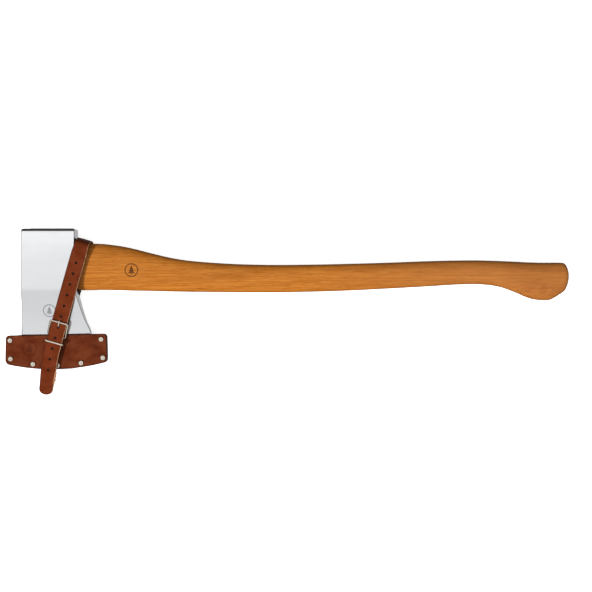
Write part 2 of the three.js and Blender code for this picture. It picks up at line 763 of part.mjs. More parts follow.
// The prong: an open eye round the heel bar, then up through the strap's hole and over the top bar.
function prongGeometry() {
  const eye = WIRE_RADIUS + GAP + PRONG_HALF_THICK + 0.2;
  const points = [];
  const turns = 10;
  const sweep = THREE.MathUtils.degToRad(262);
  for (let i = 0; i <= turns; i++) {
    const a = -sweep * (1 - i / turns);
    points.push(new THREE.Vector2(HEEL.s - eye * Math.sin(a), HEEL.z + eye * Math.cos(a)));
  }
  const shank = [
    [141, 15.3],
    [136.4, 15.4],
    [134.5, 15.9],
    [133.5, 17.1],
    [132.7, 18.6],
    [131.9, 20.1],
    [130.8, 21.6],
    [128.6, 23.1],
    [125, 24.6],
    [122.4, 24.9],
  ];
  for (const [s, z] of shank) points.push(new THREE.Vector2(s, z));
  const section = roundSection(1, 8);
  const rings = points.map((p, i) => {
    const after = points[Math.min(i + 1, points.length - 1)];
    const run = after.clone().sub(points[Math.max(i - 1, 0)]).normalize();
    const thin = i === points.length - 1 ? 0.6 : 1;
    return section.map(([w, n]) => {
      const off = n * PRONG_HALF_THICK * thin;
      return onStrap(p.x - run.y * off, w * PRONG_HALF_WIDTH * thin, p.y + run.x * off);
    });
  });
  return loft(rings);
}
add("buckle_prong", prongGeometry(), nickel());

const keeperLow = seat(KEEPER_S) + CHAPE_THICK + GAP + KEEPER_THICK / 2;
const keeperHigh = along(FRONT_LEG, KEEPER_S) + HALF_LEATHER + 2 * GAP + KEEPER_THICK / 2;
const flat = [
  [KEEPER_THICK / 2, KEEPER_WIDE / 2],
  [-KEEPER_THICK / 2, KEEPER_WIDE / 2],
  [-KEEPER_THICK / 2, -KEEPER_WIDE / 2],
  [KEEPER_THICK / 2, -KEEPER_WIDE / 2],
];
const keeper = wireLoop(
  KEEPER_HALF_WIDTH,
  { s: KEEPER_S, z: keeperLow },
  { s: KEEPER_S, z: keeperHigh },
  1.6,
  flat,
);
add("keeper_loop", keeper, nickel());

// ---- Origin ----
const whole = new THREE.Group();
whole.add(model);
model.updateMatrixWorld(true);
const box = new THREE.Box3().setFromObject(model, true);
model.position.set(-(box.min.x + box.max.x) / 2, -(box.min.y + box.max.y) / 2, -box.min.z);

export default whole;
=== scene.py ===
"""A two-handed axe with a polished head, an oiled hickory handle and a strapped leather edge guard.

Shapes are worked out in millimetres from the middle of the head's eye: +X runs along the handle to the
knob, +Y to the poll and +Z up. to_row() turns them into metres in the row frame.
"""

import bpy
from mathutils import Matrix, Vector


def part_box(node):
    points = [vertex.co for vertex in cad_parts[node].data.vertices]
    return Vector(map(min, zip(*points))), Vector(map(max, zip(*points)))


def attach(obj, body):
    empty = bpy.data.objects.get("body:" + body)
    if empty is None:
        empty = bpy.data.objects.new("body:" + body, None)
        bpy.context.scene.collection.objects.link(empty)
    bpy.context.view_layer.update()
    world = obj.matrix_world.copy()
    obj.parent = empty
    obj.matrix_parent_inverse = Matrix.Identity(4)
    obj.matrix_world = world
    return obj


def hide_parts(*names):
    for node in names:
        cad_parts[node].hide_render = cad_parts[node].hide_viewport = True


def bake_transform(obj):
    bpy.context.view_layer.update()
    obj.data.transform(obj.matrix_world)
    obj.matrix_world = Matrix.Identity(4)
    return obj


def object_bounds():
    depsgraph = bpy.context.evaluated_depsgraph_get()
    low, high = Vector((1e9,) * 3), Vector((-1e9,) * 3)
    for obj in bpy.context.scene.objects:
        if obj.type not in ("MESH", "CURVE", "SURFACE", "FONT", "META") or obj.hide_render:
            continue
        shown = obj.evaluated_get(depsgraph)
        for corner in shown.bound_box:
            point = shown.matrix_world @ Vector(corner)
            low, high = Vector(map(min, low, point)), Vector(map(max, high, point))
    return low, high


bl_info = {
    "name": "Felling axe with edge guard",
    "version": (1, 0, 0),
    "blender": (4, 5, 0),
    "location": "View3D > Sidebar > Axe",
    "description": "Builds a polished axe head, a hickory handle and a strapped leather edge guard",
    "category": "Add Mesh",
}

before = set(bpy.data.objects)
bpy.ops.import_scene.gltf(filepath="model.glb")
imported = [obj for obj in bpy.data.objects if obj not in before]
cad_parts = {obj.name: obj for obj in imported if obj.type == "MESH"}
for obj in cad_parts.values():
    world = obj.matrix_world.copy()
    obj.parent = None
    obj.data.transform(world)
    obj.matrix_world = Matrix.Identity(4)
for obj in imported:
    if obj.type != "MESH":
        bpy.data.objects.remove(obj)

import math

import bmesh
import bpy
import numpy as np
from bpy.props import FloatProperty, FloatVectorProperty, IntProperty, PointerProperty
from bpy.types import Operator, Panel, PropertyGroup
from mathutils import Matrix, Vector

CAD_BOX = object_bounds()
MM = 0.001

# ---- Where the frame is ----
TONGUE_END = 38.7  # mm from the eye's middle to the handle's end in the head


def eye_centre():
    """The middle of the head's eye, from the handle's end and the ring wedge in it."""
    handle_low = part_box("handle")[0]
    ring_low, ring_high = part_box("ring_wedge")
    middle = (ring_low + ring_high) / 2
    return np.array([handle_low.x + TONGUE_END * MM, middle.y, middle.z])


EYE = eye_centre()
GROUND = -EYE[2] / MM  # where the piece rests, in mm from the eye's middle


def to_row(points):
    """Points in mm from the eye's middle as metres in the row frame."""
    return EYE + np.asarray(points, float) * MM


# ---- Sizes that the frame also has, in mm ----
HEAD_HALF_WIDTH = 39
HEAD_HALF_THICK = 19
POLL_Y = 56
HEAD_EDGE_Y = -137
BIT_RADIUS = 290
BIT_CENTRE_X = 4
EYE_LENGTH = 62
EYE_WIDTH = 24
GAP = 0.3
SEAT_ROOM = 0.65  # between the guard's panel and what lies on it
HANDLE_END_X = 760.6
LEATHER = 3
WELT = 4
GUARD_LEFT_X = -64.4
GUARD_RIGHT_X = 85.2
GUARD_TOP_LEFT_Y = -100.6
GUARD_TOP_RIGHT_Y = -98
GUARD_BOTTOM_Y = -150.2
GUARD_RADIUS = 305
GUARD_ARC_X = 4
BULGE = 3.6
STRAP_TOP = (52.1, 39.2)
STRAP_TILT = math.radians(15.9)
TAIL_TILT = math.radians(8)
TAIL_BEND = (165, 30)  # where the tail starts to turn, and over what length
STRAP_END_S = 233.3
STRAP_ANCHOR_S = 178
FOLD_S = 9
FOLD_SQUEEZE = 0.75
OVER_CHEEK = HEAD_HALF_THICK + 0.4
PRONG_HOLE_S = 132.7
HEEL = (146, 12.65)  # the buckle's heel bar, along the strap and up
TOP_BAR = (125, 22.1)
KEEPER_S = 155.7

# Half of the head's thickness at each y, from the edge to the poll.
HALF_THICKNESS = [
    (HEAD_EDGE_Y, 0.15), (-130, 1.2), (-122, 2), (-110, 3.4), (-97, 5.2), (-84, 7.2), (-66, 10.5),
    (-48, 14.5), (-32, 19), (8, 19), (32, 18.7), (46, 18), (52, 17.4), (POLL_Y, 13.6),
]
RIGHT_EDGE = [
    (HEAD_EDGE_Y, 69.5), (-97, 60.2), (-80, 53.4), (-66, 48.7), (-48, 43.4), (-36, 39.9),
    (-26, HEAD_HALF_WIDTH), (POLL_Y, HEAD_HALF_WIDTH),
]
LEFT_EDGE = [
    (HEAD_EDGE_Y, -45), (-112, -41.2), (-97, -40), (-66, -HEAD_HALF_WIDTH), (POLL_Y, -HEAD_HALF_WIDTH),
]

# The handle's top line, bottom line and half thickness at each x.
STATIONS = [
    (-38.7, 30.7, -30.7, 11.7), (39.7, 30.7, -30.7, 11.7), (43.5, 34, -33.2, 13.8),
    (50, 34.8, -34.2, 14.5), (62, 34.4, -34.1, 14.4), (74, 34.1, -33.9, 14.2), (103, 30.9, -34.4, 13.6),
    (121, 27.4, -34.9, 13.2), (138, 23.1, -35.2, 12.8), (156, 18.6, -35.6, 12.5),
    (174, 14.3, -36.1, 12.3), (191, 11.2, -36.4, 12.1), (209, 8.8, -36.7, 12), (244, 6, -37, 11.9),
    (280, 4.1, -37.3, 11.8), (333, 3.1, -37.4, 11.8), (385, 3.6, -36.5, 11.8), (438, 4.7, -34.8, 11.8),
    (500, 6.5, -31.7, 11.9), (562, 8.8, -28.2, 12), (600, 9.6, -25.9, 12.3), (624, 9.8, -25.3, 12.6),
    (644, 9.4, -26.5, 12.9), (660, 8.9, -29.1, 13.3), (674, 8.3, -33.6, 13.8), (688, 7.6, -39.2, 14.2),
    (702, 6.9, -45.2, 14.6), (712, 6.6, -47.8, 14.9), (722, 6.4, -48.9, 15), (730, 6.4, -49, 15),
    (735, 6.4, -48.3, 15), (738, 6.5, -46.9, 14.9), (742.2, 6.5, -44.6, 14.8), (749.5, 6.4, -40, 14.4),
    (753.5, 6.2, -37.3, 14), (756.5, 4.6, -34.6, 13.4), (758.5, 1.8, -30.5, 12.5),
    (759.9, -1.8, -25.5, 11.7), (HANDLE_END_X, -5.5, -21.5, 10.8),
]

EDGE_RIVETS = [
    (-57.4, -107.8), (-56.6, -134.8), (-23.7, -142.6), (12, -144.4), (46.8, -140.8), (78.7, -133.1),
    (76.1, -106),
]
CHAPE_RIVETS_S = [168.5, 176]
STRAP_RIVETS_S = [161.5, 170.5]

# Heights of the strap's inner face on the front leg, along the strap.
FRONT_LEG = [
    (9, 19.4), (62, 19.4), (73, 19.3), (90, 18.7), (107, 18.1), (122, 17.5), (132.7, 17.1), (140, 16.8),
    (146, 16.6), (151, 16), (157, 15), (163.5, 14.2), (171.5, 13.4), (181, 12.1), (193, 10.3), (206, 9),
    (218, 8.3), (233.3, 7.7),
]


# ---- Curves and surfaces ----
def smooth(t):
    """A soft step from 0 to 1."""
    c = np.clip(t, 0.0, 1.0)
    return c * c * (3 - 2 * c)


def through(knots, at):
    """A smooth curve through (place, value) knots that never swings past them."""
    places, values = np.array(knots, float).T
    step = np.diff(places)
    slope = np.diff(values) / step
    tangent = np.zeros_like(values)
    before, after = slope[:-1], slope[1:]
    same_way = before * after > 0
    total = np.where(same_way, before + after, 1.0)
    tangent[1:-1] = np.where(same_way, 2 * before * after / total, 0.0)
    tangent[0], tangent[-1] = slope[0], slope[-1]
    at = np.clip(np.asarray(at, float), places[0], places[-1])
    i = np.clip(np.searchsorted(places, at, side="right") - 1, 0, len(step) - 1)
    h = step[i]
    t = (at - places[i]) / h
    start = values[i] * (1 + 2 * t) * (1 - t) ** 2 + tangent[i] * h * t * (1 - t) ** 2
    return start + values[i + 1] * t * t * (3 - 2 * t) + tangent[i + 1] * h * t * t * (t - 1)


def guard_arc(x):
    """The guard's bottom line."""
    return GUARD_BOTTOM_Y + GUARD_RADIUS - np.sqrt(GUARD_RADIUS**2 - (x - GUARD_ARC_X) ** 2)


def panel_outer(x, y):
    """Height of a guard panel's outer face over the middle plane."""
    across = smooth((x + 53) / 13) * smooth((73 - x) / 13)
    down = np.clip((y + 136) / 38, 0, 1)
    return WELT / 2 + GAP + BULGE * across * down + LEATHER


def strap_line():
    """The strap's middle line in the plane: places and tilts at small steps along it."""
    step = 0.5
    s = np.arange(-20, STRAP_END_S + 20, step)
    start, length = TAIL_BEND
    tilt = STRAP_TILT + (TAIL_TILT - STRAP_TILT) * smooth((s - start) / length)
    dx, dy = -np.sin(tilt) * step, -np.cos(tilt) * step
    x = np.cumsum(dx) - dx[0]
    y = np.cumsum(dy) - dy[0]
    x += STRAP_TOP[0] - np.interp(0, s, x)
    y += STRAP_TOP[1] - np.interp(0, s, y)
    return s, x, y, tilt


STRAP_LINE = strap_line()


def on_strap(s, w, z):
    """Points that follow the strap: s along it, w across it to the right, z up."""
    known, xs, ys, tilts = STRAP_LINE
    x, y, tilt = np.interp(s, known, xs), np.interp(s, known, ys), np.interp(s, known, tilts)
    return np.stack(np.broadcast_arrays(x + w * np.cos(tilt), y - w * np.sin(tilt), z), axis=-1)


def seat(s):
    """Outer height of the guard panel under the strap's middle."""
    place = on_strap(s, 0, 0)
    return panel_outer(place[..., 0], place[..., 1]) + SEAT_ROOM


# ---- Mesh work ----
def loft(rings, closed=False):
    """Quads over rings of points, with a cap on each end unless the rings run round in a loop."""
    count, around = rings.shape[:2]
    faces = []
    for i in range(count if closed else count - 1):
        a, b = i * around, (i + 1) % count * around
        faces += [(a + j, a + (j + 1) % around, b + (j + 1) % around, b + j) for j in range(around)]
    if not closed:
        last = (count - 1) * around
        faces += [tuple(range(around)), tuple(range(last, last + around))]
    return rings.reshape(-1, 3), faces


def shade(mesh, sharp_degrees):
    """Smooth shading, with creases where faces meet at more than that angle."""
    mesh.polygons.foreach_set("use_smooth", [True] * len(mesh.polygons))
    mesh.set_sharp_from_angle(angle=math.radians(sharp_degrees))


def link(name, mesh):
    """A new object in the scene."""
    made = bpy.data.objects.new(name, mesh)
    bpy.context.scene.collection.objects.link(made)
    return made


def make_piece(name, points, faces, finishes, kinds=None, sharp=40.0, values=None):
    """A closed mesh from points in mm, its faces pointing outwards. kinds gives each face's finish."""
    mesh = bpy.data.meshes.new(name)
    mesh.from_pydata(to_row(points).tolist(), [], faces)
    for finish in finishes:
        mesh.materials.append(finish)
    if kinds is not None:
        mesh.polygons.foreach_set("material_index", list(kinds))
    for label, numbers in (values or {}).items():
        corners = [loop.vertex_index for loop in mesh.loops]
        chosen = np.asarray(numbers, np.float32)[corners]
        mesh.attributes.new(label, "FLOAT", "CORNER").data.foreach_set("value", chosen)
    work = bmesh.new()
    work.from_mesh(mesh)
    bmesh.ops.remove_doubles(work, verts=work.verts, dist=1e-7)
    bmesh.ops.recalc_face_normals(work, faces=work.faces)
    work.to_mesh(mesh)
    work.free()
    shade(mesh, sharp)
    return link(name, mesh)


def settle(piece, sharp=40.0):
    """Turns a piece's modifiers into its plain mesh."""
    bpy.context.view_layer.update()
    graph = bpy.context.evaluated_depsgraph_get()
    mesh = bpy.data.meshes.new_from_object(piece.evaluated_get(graph), depsgraph=graph)
    piece.modifiers.clear()
    old = piece.data
    piece.data = mesh
    bpy.data.meshes.remove(old)
    shade(mesh, sharp)
    return piece


def cut(piece, tool, sharp=40.0, own_crossings=False):
    """Cuts the tool's shape out of the piece and removes the tool."""
    boolean = piece.modifiers.new("cut", "BOOLEAN")
    boolean.operation = "DIFFERENCE"
    boolean.solver = "EXACT"
    boolean.use_self = own_crossings
    boolean.object = tool
    settle(piece, sharp)
    bpy.data.objects.remove(tool)
    return piece


def copy_of_node(node_name, name, finish, bevel, segments=2, sharp=40.0):
    """A merged copy of a CAD node's mesh with rounded edges."""
    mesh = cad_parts[node_name].data.copy()
    mesh.name = name
    work = bmesh.new()
    work.from_mesh(mesh)
    bmesh.ops.remove_doubles(work, verts=work.verts, dist=1e-6)
    bmesh.ops.dissolve_limit(work, angle_limit=math.radians(1), verts=work.verts, edges=work.edges)
    work.to_mesh(mesh)
    work.free()
    mesh.materials.clear()
    mesh.materials.append(finish)
    made = link(name, mesh)
    rounding = made.modifiers.new("rounding", "BEVEL")
    rounding.width = bevel * MM
    rounding.segments = segments
    rounding.limit_method = "ANGLE"
    rounding.angle_limit = math.radians(35)
    return settle(made, sharp)


def lathe(profile, sides=40):
    """A closed body turned round +Z from a profile of (radius, height) in mm that starts and ends on it."""
    turn = np.linspace(0, 2 * np.pi, sides, endpoint=False)
    radius, height = np.array(profile, float).T
    x = radius[:, None] * np.cos(turn)
    y = radius[:, None] * np.sin(turn)
    z = np.broadcast_to(height[:, None], x.shape)
    points, faces = loft(np.stack([x, y, z], axis=-1), closed=False)
    return points, faces[:-2]


def soften(path, passes=2):
    """Rounds the corners of an open path and keeps its ends."""
    for _ in range(passes):
        first = path[:-1] * 0.75 + path[1:] * 0.25
        second = path[:-1] * 0.25 + path[1:] * 0.75
        inner = np.stack([first, second], axis=1).reshape(-1, 2)
        path = np.concatenate([path[:1], inner[1:-1], path[-1:]])
    return path


def path_normals(path, closed=False):
    """Unit normals of a path, to the right of the way it runs."""
    if closed:
        run = np.roll(path, -1, axis=0) - np.roll(path, 1, axis=0)
    else:
        run = np.gradient(path, axis=0)
    run /= np.linalg.norm(run, axis=1)[:, None]
    return np.stack([run[:, 1], -run[:, 0]], axis=1)


# ---- Colours and nodes ----
def colour(code):
    """Linear RGBA of an sRGB hex colour."""
    parts = [int(code[i : i + 2], 16) / 255 for i in (1, 3, 5)]
    linear = [c / 12.92 if c <= 0.04045 else ((c + 0.055) / 1.055) ** 2.4 for c in parts]
    return (*linear, 1.0)


def set_inputs(tree, node, inputs):
    """Sets a node's inputs by socket name or number, to values or to sockets that are linked."""
    for key, value in inputs.items():
        if isinstance(value, bpy.types.NodeSocket):
            tree.links.new(value, node.inputs[key])
        else:
            node.inputs[key].default_value = value


def add_node(tree, kind, inputs=None, **settings):
    """Adds a node with its settings and inputs."""
    made = tree.nodes.new(kind)
    for name, value in settings.items():
        setattr(made, name, value)
    set_inputs(tree, made, inputs or {})
    return made


def moved(tree, place, **inputs):
    """A place scaled, turned and moved, by the inputs' names."""
    return add_node(tree, "ShaderNodeMapping", {0: place, **inputs}).outputs[0]


def length_of(tree, place):
    """How far a place is from the origin."""
    return add_node(tree, "ShaderNodeVectorMath", {0: place}, operation="LENGTH").outputs["Value"]


def opaque(rgb):
    """A setting's colour as RGBA."""
    return (*rgb, 1.0)


def start_finish(name):
    """A new material with its shader, and object coordinates in mm from the eye's middle."""
    material = bpy.data.materials.new(name)
    material.use_nodes = True
    tree = material.node_tree
    shader = tree.nodes["Principled BSDF"]
    place = add_node(tree, "ShaderNodeTexCoord").outputs["Object"]
    in_mm = moved(tree, place, Location=tuple(-EYE / MM), Scale=(1 / MM,) * 3)
    return material, tree, shader, in_mm


def stretched_noise(tree, place, size, detail=3.0, turn=0.0):
    """Noise whose blobs are about size = (x, y, z) mm, turned about Z."""
    mapped = moved(tree, place, Rotation=(0, 0, turn), Scale=tuple(1 / s for s in size))
    return add_node(tree, "ShaderNodeTexNoise", {0: mapped, "Scale": 1.0, "Detail": detail}).outputs[0]


def spread(tree, value, low, high, to_low=0.0, to_high=1.0):
    """Stretches a value's range from low..high to to_low..to_high."""
    inputs = {0: value, 1: low, 2: high, 3: to_low, 4: to_high}
    return add_node(tree, "ShaderNodeMapRange", inputs, interpolation_type="SMOOTHSTEP").outputs[0]


def tint(tree, factor, first, second, way="MIX"):
    """Mixes two colours, or lays the second on the first in another way."""
    made = add_node(tree, "ShaderNodeMix", {0: factor, 6: first, 7: second}, data_type="RGBA", blend_type=way)
    return made.outputs[2]


def sum_of(tree, first, second, operation="ADD"):
    """A sum or other arithmetic of two values."""
    return add_node(tree, "ShaderNodeMath", {0: first, 1: second}, operation=operation).outputs[0]


def relief(tree, shader, height, depth_mm, strength=1.0, above=None):
    """Bump of that depth on the shader, over the bump before it."""
    inputs = {"Strength": strength, "Distance": depth_mm * MM, "Height": height}
    if above is not None:
        inputs["Normal"] = above
    bumped = add_node(tree, "ShaderNodeBump", inputs).outputs[0]
    set_inputs(tree, shader, {"Normal": bumped})
    return bumped


# The fir in the mark, in ring radii: each tier's foot and tip heights and half its width, and the trunk's.
FIR_TIERS = [(-0.45, 0.1, 0.5), (-0.15, 0.4, 0.38), (0.15, 0.68, 0.26), (-0.68, 8, 0.06)]
FIR_TOP = 0.68
FIR_RING = 0.92


def fir_mark(tree, place, centre, radius):
    """A plain fir tree in a ring on the upper side, as a mask of 0 and 1 about a point in mm."""
    shift = (-centre[0] / radius, -centre[1] / radius, 0)
    at_centre = moved(tree, place, Location=shift, Scale=(1 / radius, 1 / radius, 0))
    off_ring = sum_of(tree, sum_of(tree, length_of(tree, at_centre), FIR_RING, "SUBTRACT"), 0.0, "ABSOLUTE")
    mask = spread(tree, off_ring, 0.05, 0.1, 1.0, 0.0)
    axes = add_node(tree, "ShaderNodeSeparateXYZ", {0: at_centre})
    side = sum_of(tree, axes.outputs[0], 0.0, "ABSOLUTE")
    for foot, tip, width in FIR_TIERS:
        slope = width / (tip - foot)
        room = sum_of(tree, sum_of(tree, tip, axes.outputs[1], "SUBTRACT"), slope, "MULTIPLY")
        inside = sum_of(tree, room, side, "GREATER_THAN")
        over_foot = sum_of(tree, axes.outputs[1], foot, "GREATER_THAN")
        under_top = sum_of(tree, FIR_TOP, axes.outputs[1], "GREATER_THAN")
        shape = sum_of(tree, sum_of(tree, inside, over_foot, "MULTIPLY"), under_top, "MULTIPLY")
        mask = sum_of(tree, mask, shape, "MAXIMUM")
    height = add_node(tree, "ShaderNodeSeparateXYZ", {0: place}).outputs[2]
    return sum_of(tree, mask, sum_of(tree, height, 0.0, "GREATER_THAN"), "MULTIPLY")


# ---- Finishes ----
HEAD_MARK = (1.5, -64)
HANDLE_MARK = (121.6, -4.7)
GUARD_MARK = (-28, -119)


def polished_steel(settings):
    """Forged carbon steel, ground and mirror polished: nearly white, with faint lines along the head."""
    material, tree, shader, place = start_finish("polished_steel")
    lines = stretched_noise(tree, place, (0.7, 26, 0.7), 2.0)
    cloud = stretched_noise(tree, place, (40, 22, 40), 2.0, 0.5)
    rough = sum_of(tree, spread(tree, lines, 0.35, 0.65, 0.08, 0.15), spread(tree, cloud, 0.3, 0.7, 0, 0.06))
    # Painted reflection: a soft grey diagonal patch near the left edge, where the cheek meets the taper,
    # stands in for a dark reflection.
    dark_reflection_turn = (0, 0, math.radians(32))
    dark_reflection_place = moved(tree, place, Rotation=dark_reflection_turn, Scale=(1 / 26, 1 / 9, 0), Location=(0.47, 4.45, 0))
    painted_dark_reflection = spread(tree, length_of(tree, dark_reflection_place), 0.1, 1.0, 0.6, 0.0)
    steel = tint(tree, painted_dark_reflection, colour("#E4E5E7"), colour("#A3A5A9"))
    steel = tint(tree, spread(tree, cloud, 0.3, 0.75, 0.0, 0.12), steel, colour("#C4C6CA"))
    etched = fir_mark(tree, place, HEAD_MARK, 9.5)
    steel = tint(tree, sum_of(tree, etched, 0.7, "MULTIPLY"), steel, colour("#7F8488"))
    set_inputs(tree, shader, {"Metallic": 1.0, "Roughness": rough, "Base Color": steel})
    relief(tree, shader, lines, 0.004, 0.35)
    return material


def oiled_hickory(settings):
    """Hickory, turned, sanded and oiled: warm orange brown, with streaks and short dark pores."""
    material, tree, shader, place = start_finish("oiled_hickory")
    broad = stretched_noise(tree, place, (150, 16, 14), 2.0, 0.02)
    streak = stretched_noise(tree, place, (85, 2.2, 3.2), 3.0, 0.01)
    fine = stretched_noise(tree, place, (24, 1.1, 1.3), 2.0)
    pores = spread(tree, stretched_noise(tree, place, (13, 0.9, 0.9), 1.0), 0.6, 0.68)
    wood = tint(
        tree, spread(tree, streak, 0.32, 0.68), opaque(settings.wood_light), opaque(settings.wood_dark)
    )
    wood = tint(tree, spread(tree, broad, 0.35, 0.7, 0.0, 0.45), wood, colour("#965416"))
    wood = tint(tree, spread(tree, fine, 0.45, 0.75, 0.0, 0.3), wood, colour("#CF9248"))
    wood = tint(tree, sum_of(tree, pores, 0.38, "MULTIPLY"), wood, colour("#5E3110"))
    # Painted shade: the wood turns darker and browner towards the knob, where the light falls off along the
    # handle.
    along = add_node(tree, "ShaderNodeSeparateXYZ", {0: place}).outputs[0]
    wood = tint(tree, spread(tree, along, 360, 640, 0.0, 0.42), wood, colour("#8E5A34"))
    far = length_of(tree, moved(tree, place, Location=(-714 / 17, 33 / 8, 0), Scale=(1 / 17, 1 / 8, 0)))
    wander = stretched_noise(tree, place, (12, 5, 8), 2.0)
    turns = sum_of(tree, sum_of(tree, far, 8.0, "MULTIPLY"), sum_of(tree, wander, 16.0, "MULTIPLY"))
    rings = spread(tree, sum_of(tree, turns, 0.0, "SINE"), -0.2, 1.0)
    near = spread(tree, far, 0.6, 2.6, 0.45, 0.0)
    wood = tint(tree, sum_of(tree, rings, near, "MULTIPLY"), wood, colour("#8A4B1E"))
    burned = fir_mark(tree, place, HANDLE_MARK, 10)
    wood = tint(tree, sum_of(tree, burned, 0.82, "MULTIPLY"), wood, colour("#3A1D0C"))
    rough = spread(tree, streak, 0.3, 0.7, 0.42, 0.55)
    set_inputs(tree, shader, {"Base Color": wood, "Roughness": rough, "Specular IOR Level": 0.16})
    grooves = relief(tree, shader, pores, -0.05, 0.6)
    relief(tree, shader, burned, -0.12, 0.7, grooves)
    return material


def wedge_wood(settings):
    """A beech wedge, sawn and driven in: paler than the handle, its end grain roughly flush."""
    material, tree, shader, place = start_finish("wedge_beech")
    grain = stretched_noise(tree, place, (30, 1.2, 2.5), 3.0)
    beech = tint(tree, spread(tree, grain, 0.35, 0.65), colour("#C0905A"), colour("#8F5E30"))
    set_inputs(tree, shader, {"Base Color": beech, "Roughness": 0.62})
    relief(tree, shader, grain, 0.08, 0.5)
    return material


def turned_steel(settings):
    """A turned mild steel ring: grey, with fine rings left by the tool."""
    material, tree, shader, place = start_finish("turned_ring_steel")
    marks = stretched_noise(tree, place, (0.4, 9, 9), 2.0)
    rough = spread(tree, marks, 0.3, 0.7, 0.28, 0.45)
    set_inputs(tree, shader, {"Base Color": colour("#8E8F92"), "Metallic": 1.0, "Roughness": rough})
    relief(tree, shader, marks, 0.01, 0.5)
    return material


def bridle_leather(name, light, dark, grain_mm, mark=None):
    """Vegetable-tanned cowhide, dyed and waxed: a fine pebble grain, cloudy colour and a soft sheen."""
    material, tree, shader, place = start_finish(name)
    cloud = stretched_noise(tree, place, (17, 13, 13), 3.0, 0.4)
    speck = stretched_noise(tree, place, (2.4, 2.0, 2.2), 3.0)
    hide = tint(tree, spread(tree, cloud, 0.3, 0.7), light, dark)
    hide = tint(tree, spread(tree, speck, 0.45, 0.75, 0.0, 0.35), hide, dark)
    grain = {0: place, "Scale": 1 / grain_mm, "Randomness": 1.0}
    pebble = add_node(tree, "ShaderNodeTexVoronoi", grain, feature="DISTANCE_TO_EDGE")
    # Painted shade: the colour darkens in the pebble grain's creases.
    crease = spread(tree, pebble.outputs["Distance"], 0.0, 0.12, 1.0, 0.0)
    hide = tint(tree, sum_of(tree, crease, 0.14, "MULTIPLY"), hide, colour("#33120A"))
    rim = add_node(tree, "ShaderNodeAttribute", attribute_name="rim", attribute_type="GEOMETRY")
    worn = spread(tree, rim.outputs["Fac"], 0.2, 2.2, 0.62, 0.0)
    hide = tint(tree, worn, hide, colour("#341308"))
    bumped = relief(tree, shader, crease, -0.05, 0.5)
    bumped = relief(tree, shader, cloud, 0.5, 0.35, bumped)
    if mark:
        pressed = fir_mark(tree, place, mark, 11)
        hide = tint(tree, sum_of(tree, pressed, 0.42, "MULTIPLY"), hide, colour("#3A170C"))
        relief(tree, shader, pressed, -0.35, 0.8, bumped)
    rough = spread(tree, cloud, 0.3, 0.7, 0.42, 0.56)
    set_inputs(tree, shader, {"Base Color": hide, "Roughness": rough, "Specular IOR Level": 0.07})
    return material


def cut_edge(name, light, dark):
    """Leather's cut edge: fibrous and matt, with fine layers along it."""
    material, tree, shader, place = start_finish(name)
    fibre = stretched_noise(tree, place, (2.5, 2.5, 0.35), 3.0)
    layers = tint(tree, spread(tree, fibre, 0.35, 0.65), light, dark)
    set_inputs(tree, shader, {"Base Color": layers, "Roughness": 0.75})
    relief(tree, shader, fibre, 0.1, 0.6)
    return material


def flesh_side(settings):
    """The hide's inner side: sueded and slightly hairy, and darkened by the dye."""
    material, tree, shader, place = start_finish("leather_flesh_side")
    nap = stretched_noise(tree, place, (1.3, 1.3, 1.3), 4.0)
    suede = tint(tree, spread(tree, nap, 0.3, 0.7), colour("#5C3524"), colour("#3B2016"))
    set_inputs(tree, shader, {"Base Color": suede, "Roughness": 0.9, "Sheen Weight": 0.3})
    relief(tree, shader, nap, 0.25, 0.7)
    return material


def plated_nickel(settings):
    """Nickel-plated brass and steel: warm white metal, tumbled smooth, with faint scuffs."""
    material, tree, shader, place = start_finish("nickel_plate")
    scuff = stretched_noise(tree, place, (0.9, 3.5, 0.9), 3.0, 0.7)
    worn = spread(tree, scuff, 0.45, 0.75, 0.0, 0.35)
    plate = tint(tree, worn, opaque(settings.nickel), colour("#C2B7A6"))
    rough = spread(tree, scuff, 0.3, 0.75, 0.3, 0.45)
    set_inputs(tree, shader, {"Metallic": 1.0, "Base Color": plate, "Roughness": rough})
    relief(tree, shader, scuff, 0.015, 0.5)
    return material


def white_sweep(settings):
    """A matt white paper sweep."""
    material = bpy.data.materials.new("white_paper_sweep")
    material.use_nodes = True
    tree = material.node_tree
    set_inputs(tree, tree.nodes["Principled BSDF"], {
        "Base Color": (0.9, 0.9, 0.9, 1),
        "Roughness": 0.9,
        "Specular IOR Level": 0.0,
        "Emission Color": (1, 1, 1, 1),
        "Emission Strength": settings.floor_glow,
    })
    return material


FINISH_MAKERS = {
    "steel": polished_steel,
    "hickory": oiled_hickory,
    "wedge": wedge_wood,
    "ring": turned_steel,
    "guard": lambda s: bridle_leather(
        "guard_bridle_leather", opaque(s.guard_leather), colour("#521F0A"), 1.1, GUARD_MARK
    ),
    "strap": lambda s: bridle_leather(
        "strap_bridle_leather", opaque(s.strap_leather), colour("#5B230A"), 0.9
    ),
    "dark_edge": lambda s: cut_edge("burnished_leather_edge", colour("#4A1F12"), colour("#2C120A")),
    # Painted shade: the punched holes' walls are near black, darker than the dyed edges, for the shade inside
    # the holes.
    "hole": lambda s: cut_edge("punched_hole_wall", colour("#241009"), colour("#120704")),
    "tan_edge": lambda s: cut_edge("raw_leather_edge", colour("#BE9070"), colour("#93603F")),
    "flesh": flesh_side,
    "nickel": plated_nickel,
    "floor": white_sweep,
}
made_finishes = {}


def finish(name):
    """The material of that name, made once."""
    if name not in made_finishes:
        made_finishes[name] = FINISH_MAKERS[name](bpy.context.scene.axe_settings)
    return made_finishes[name]


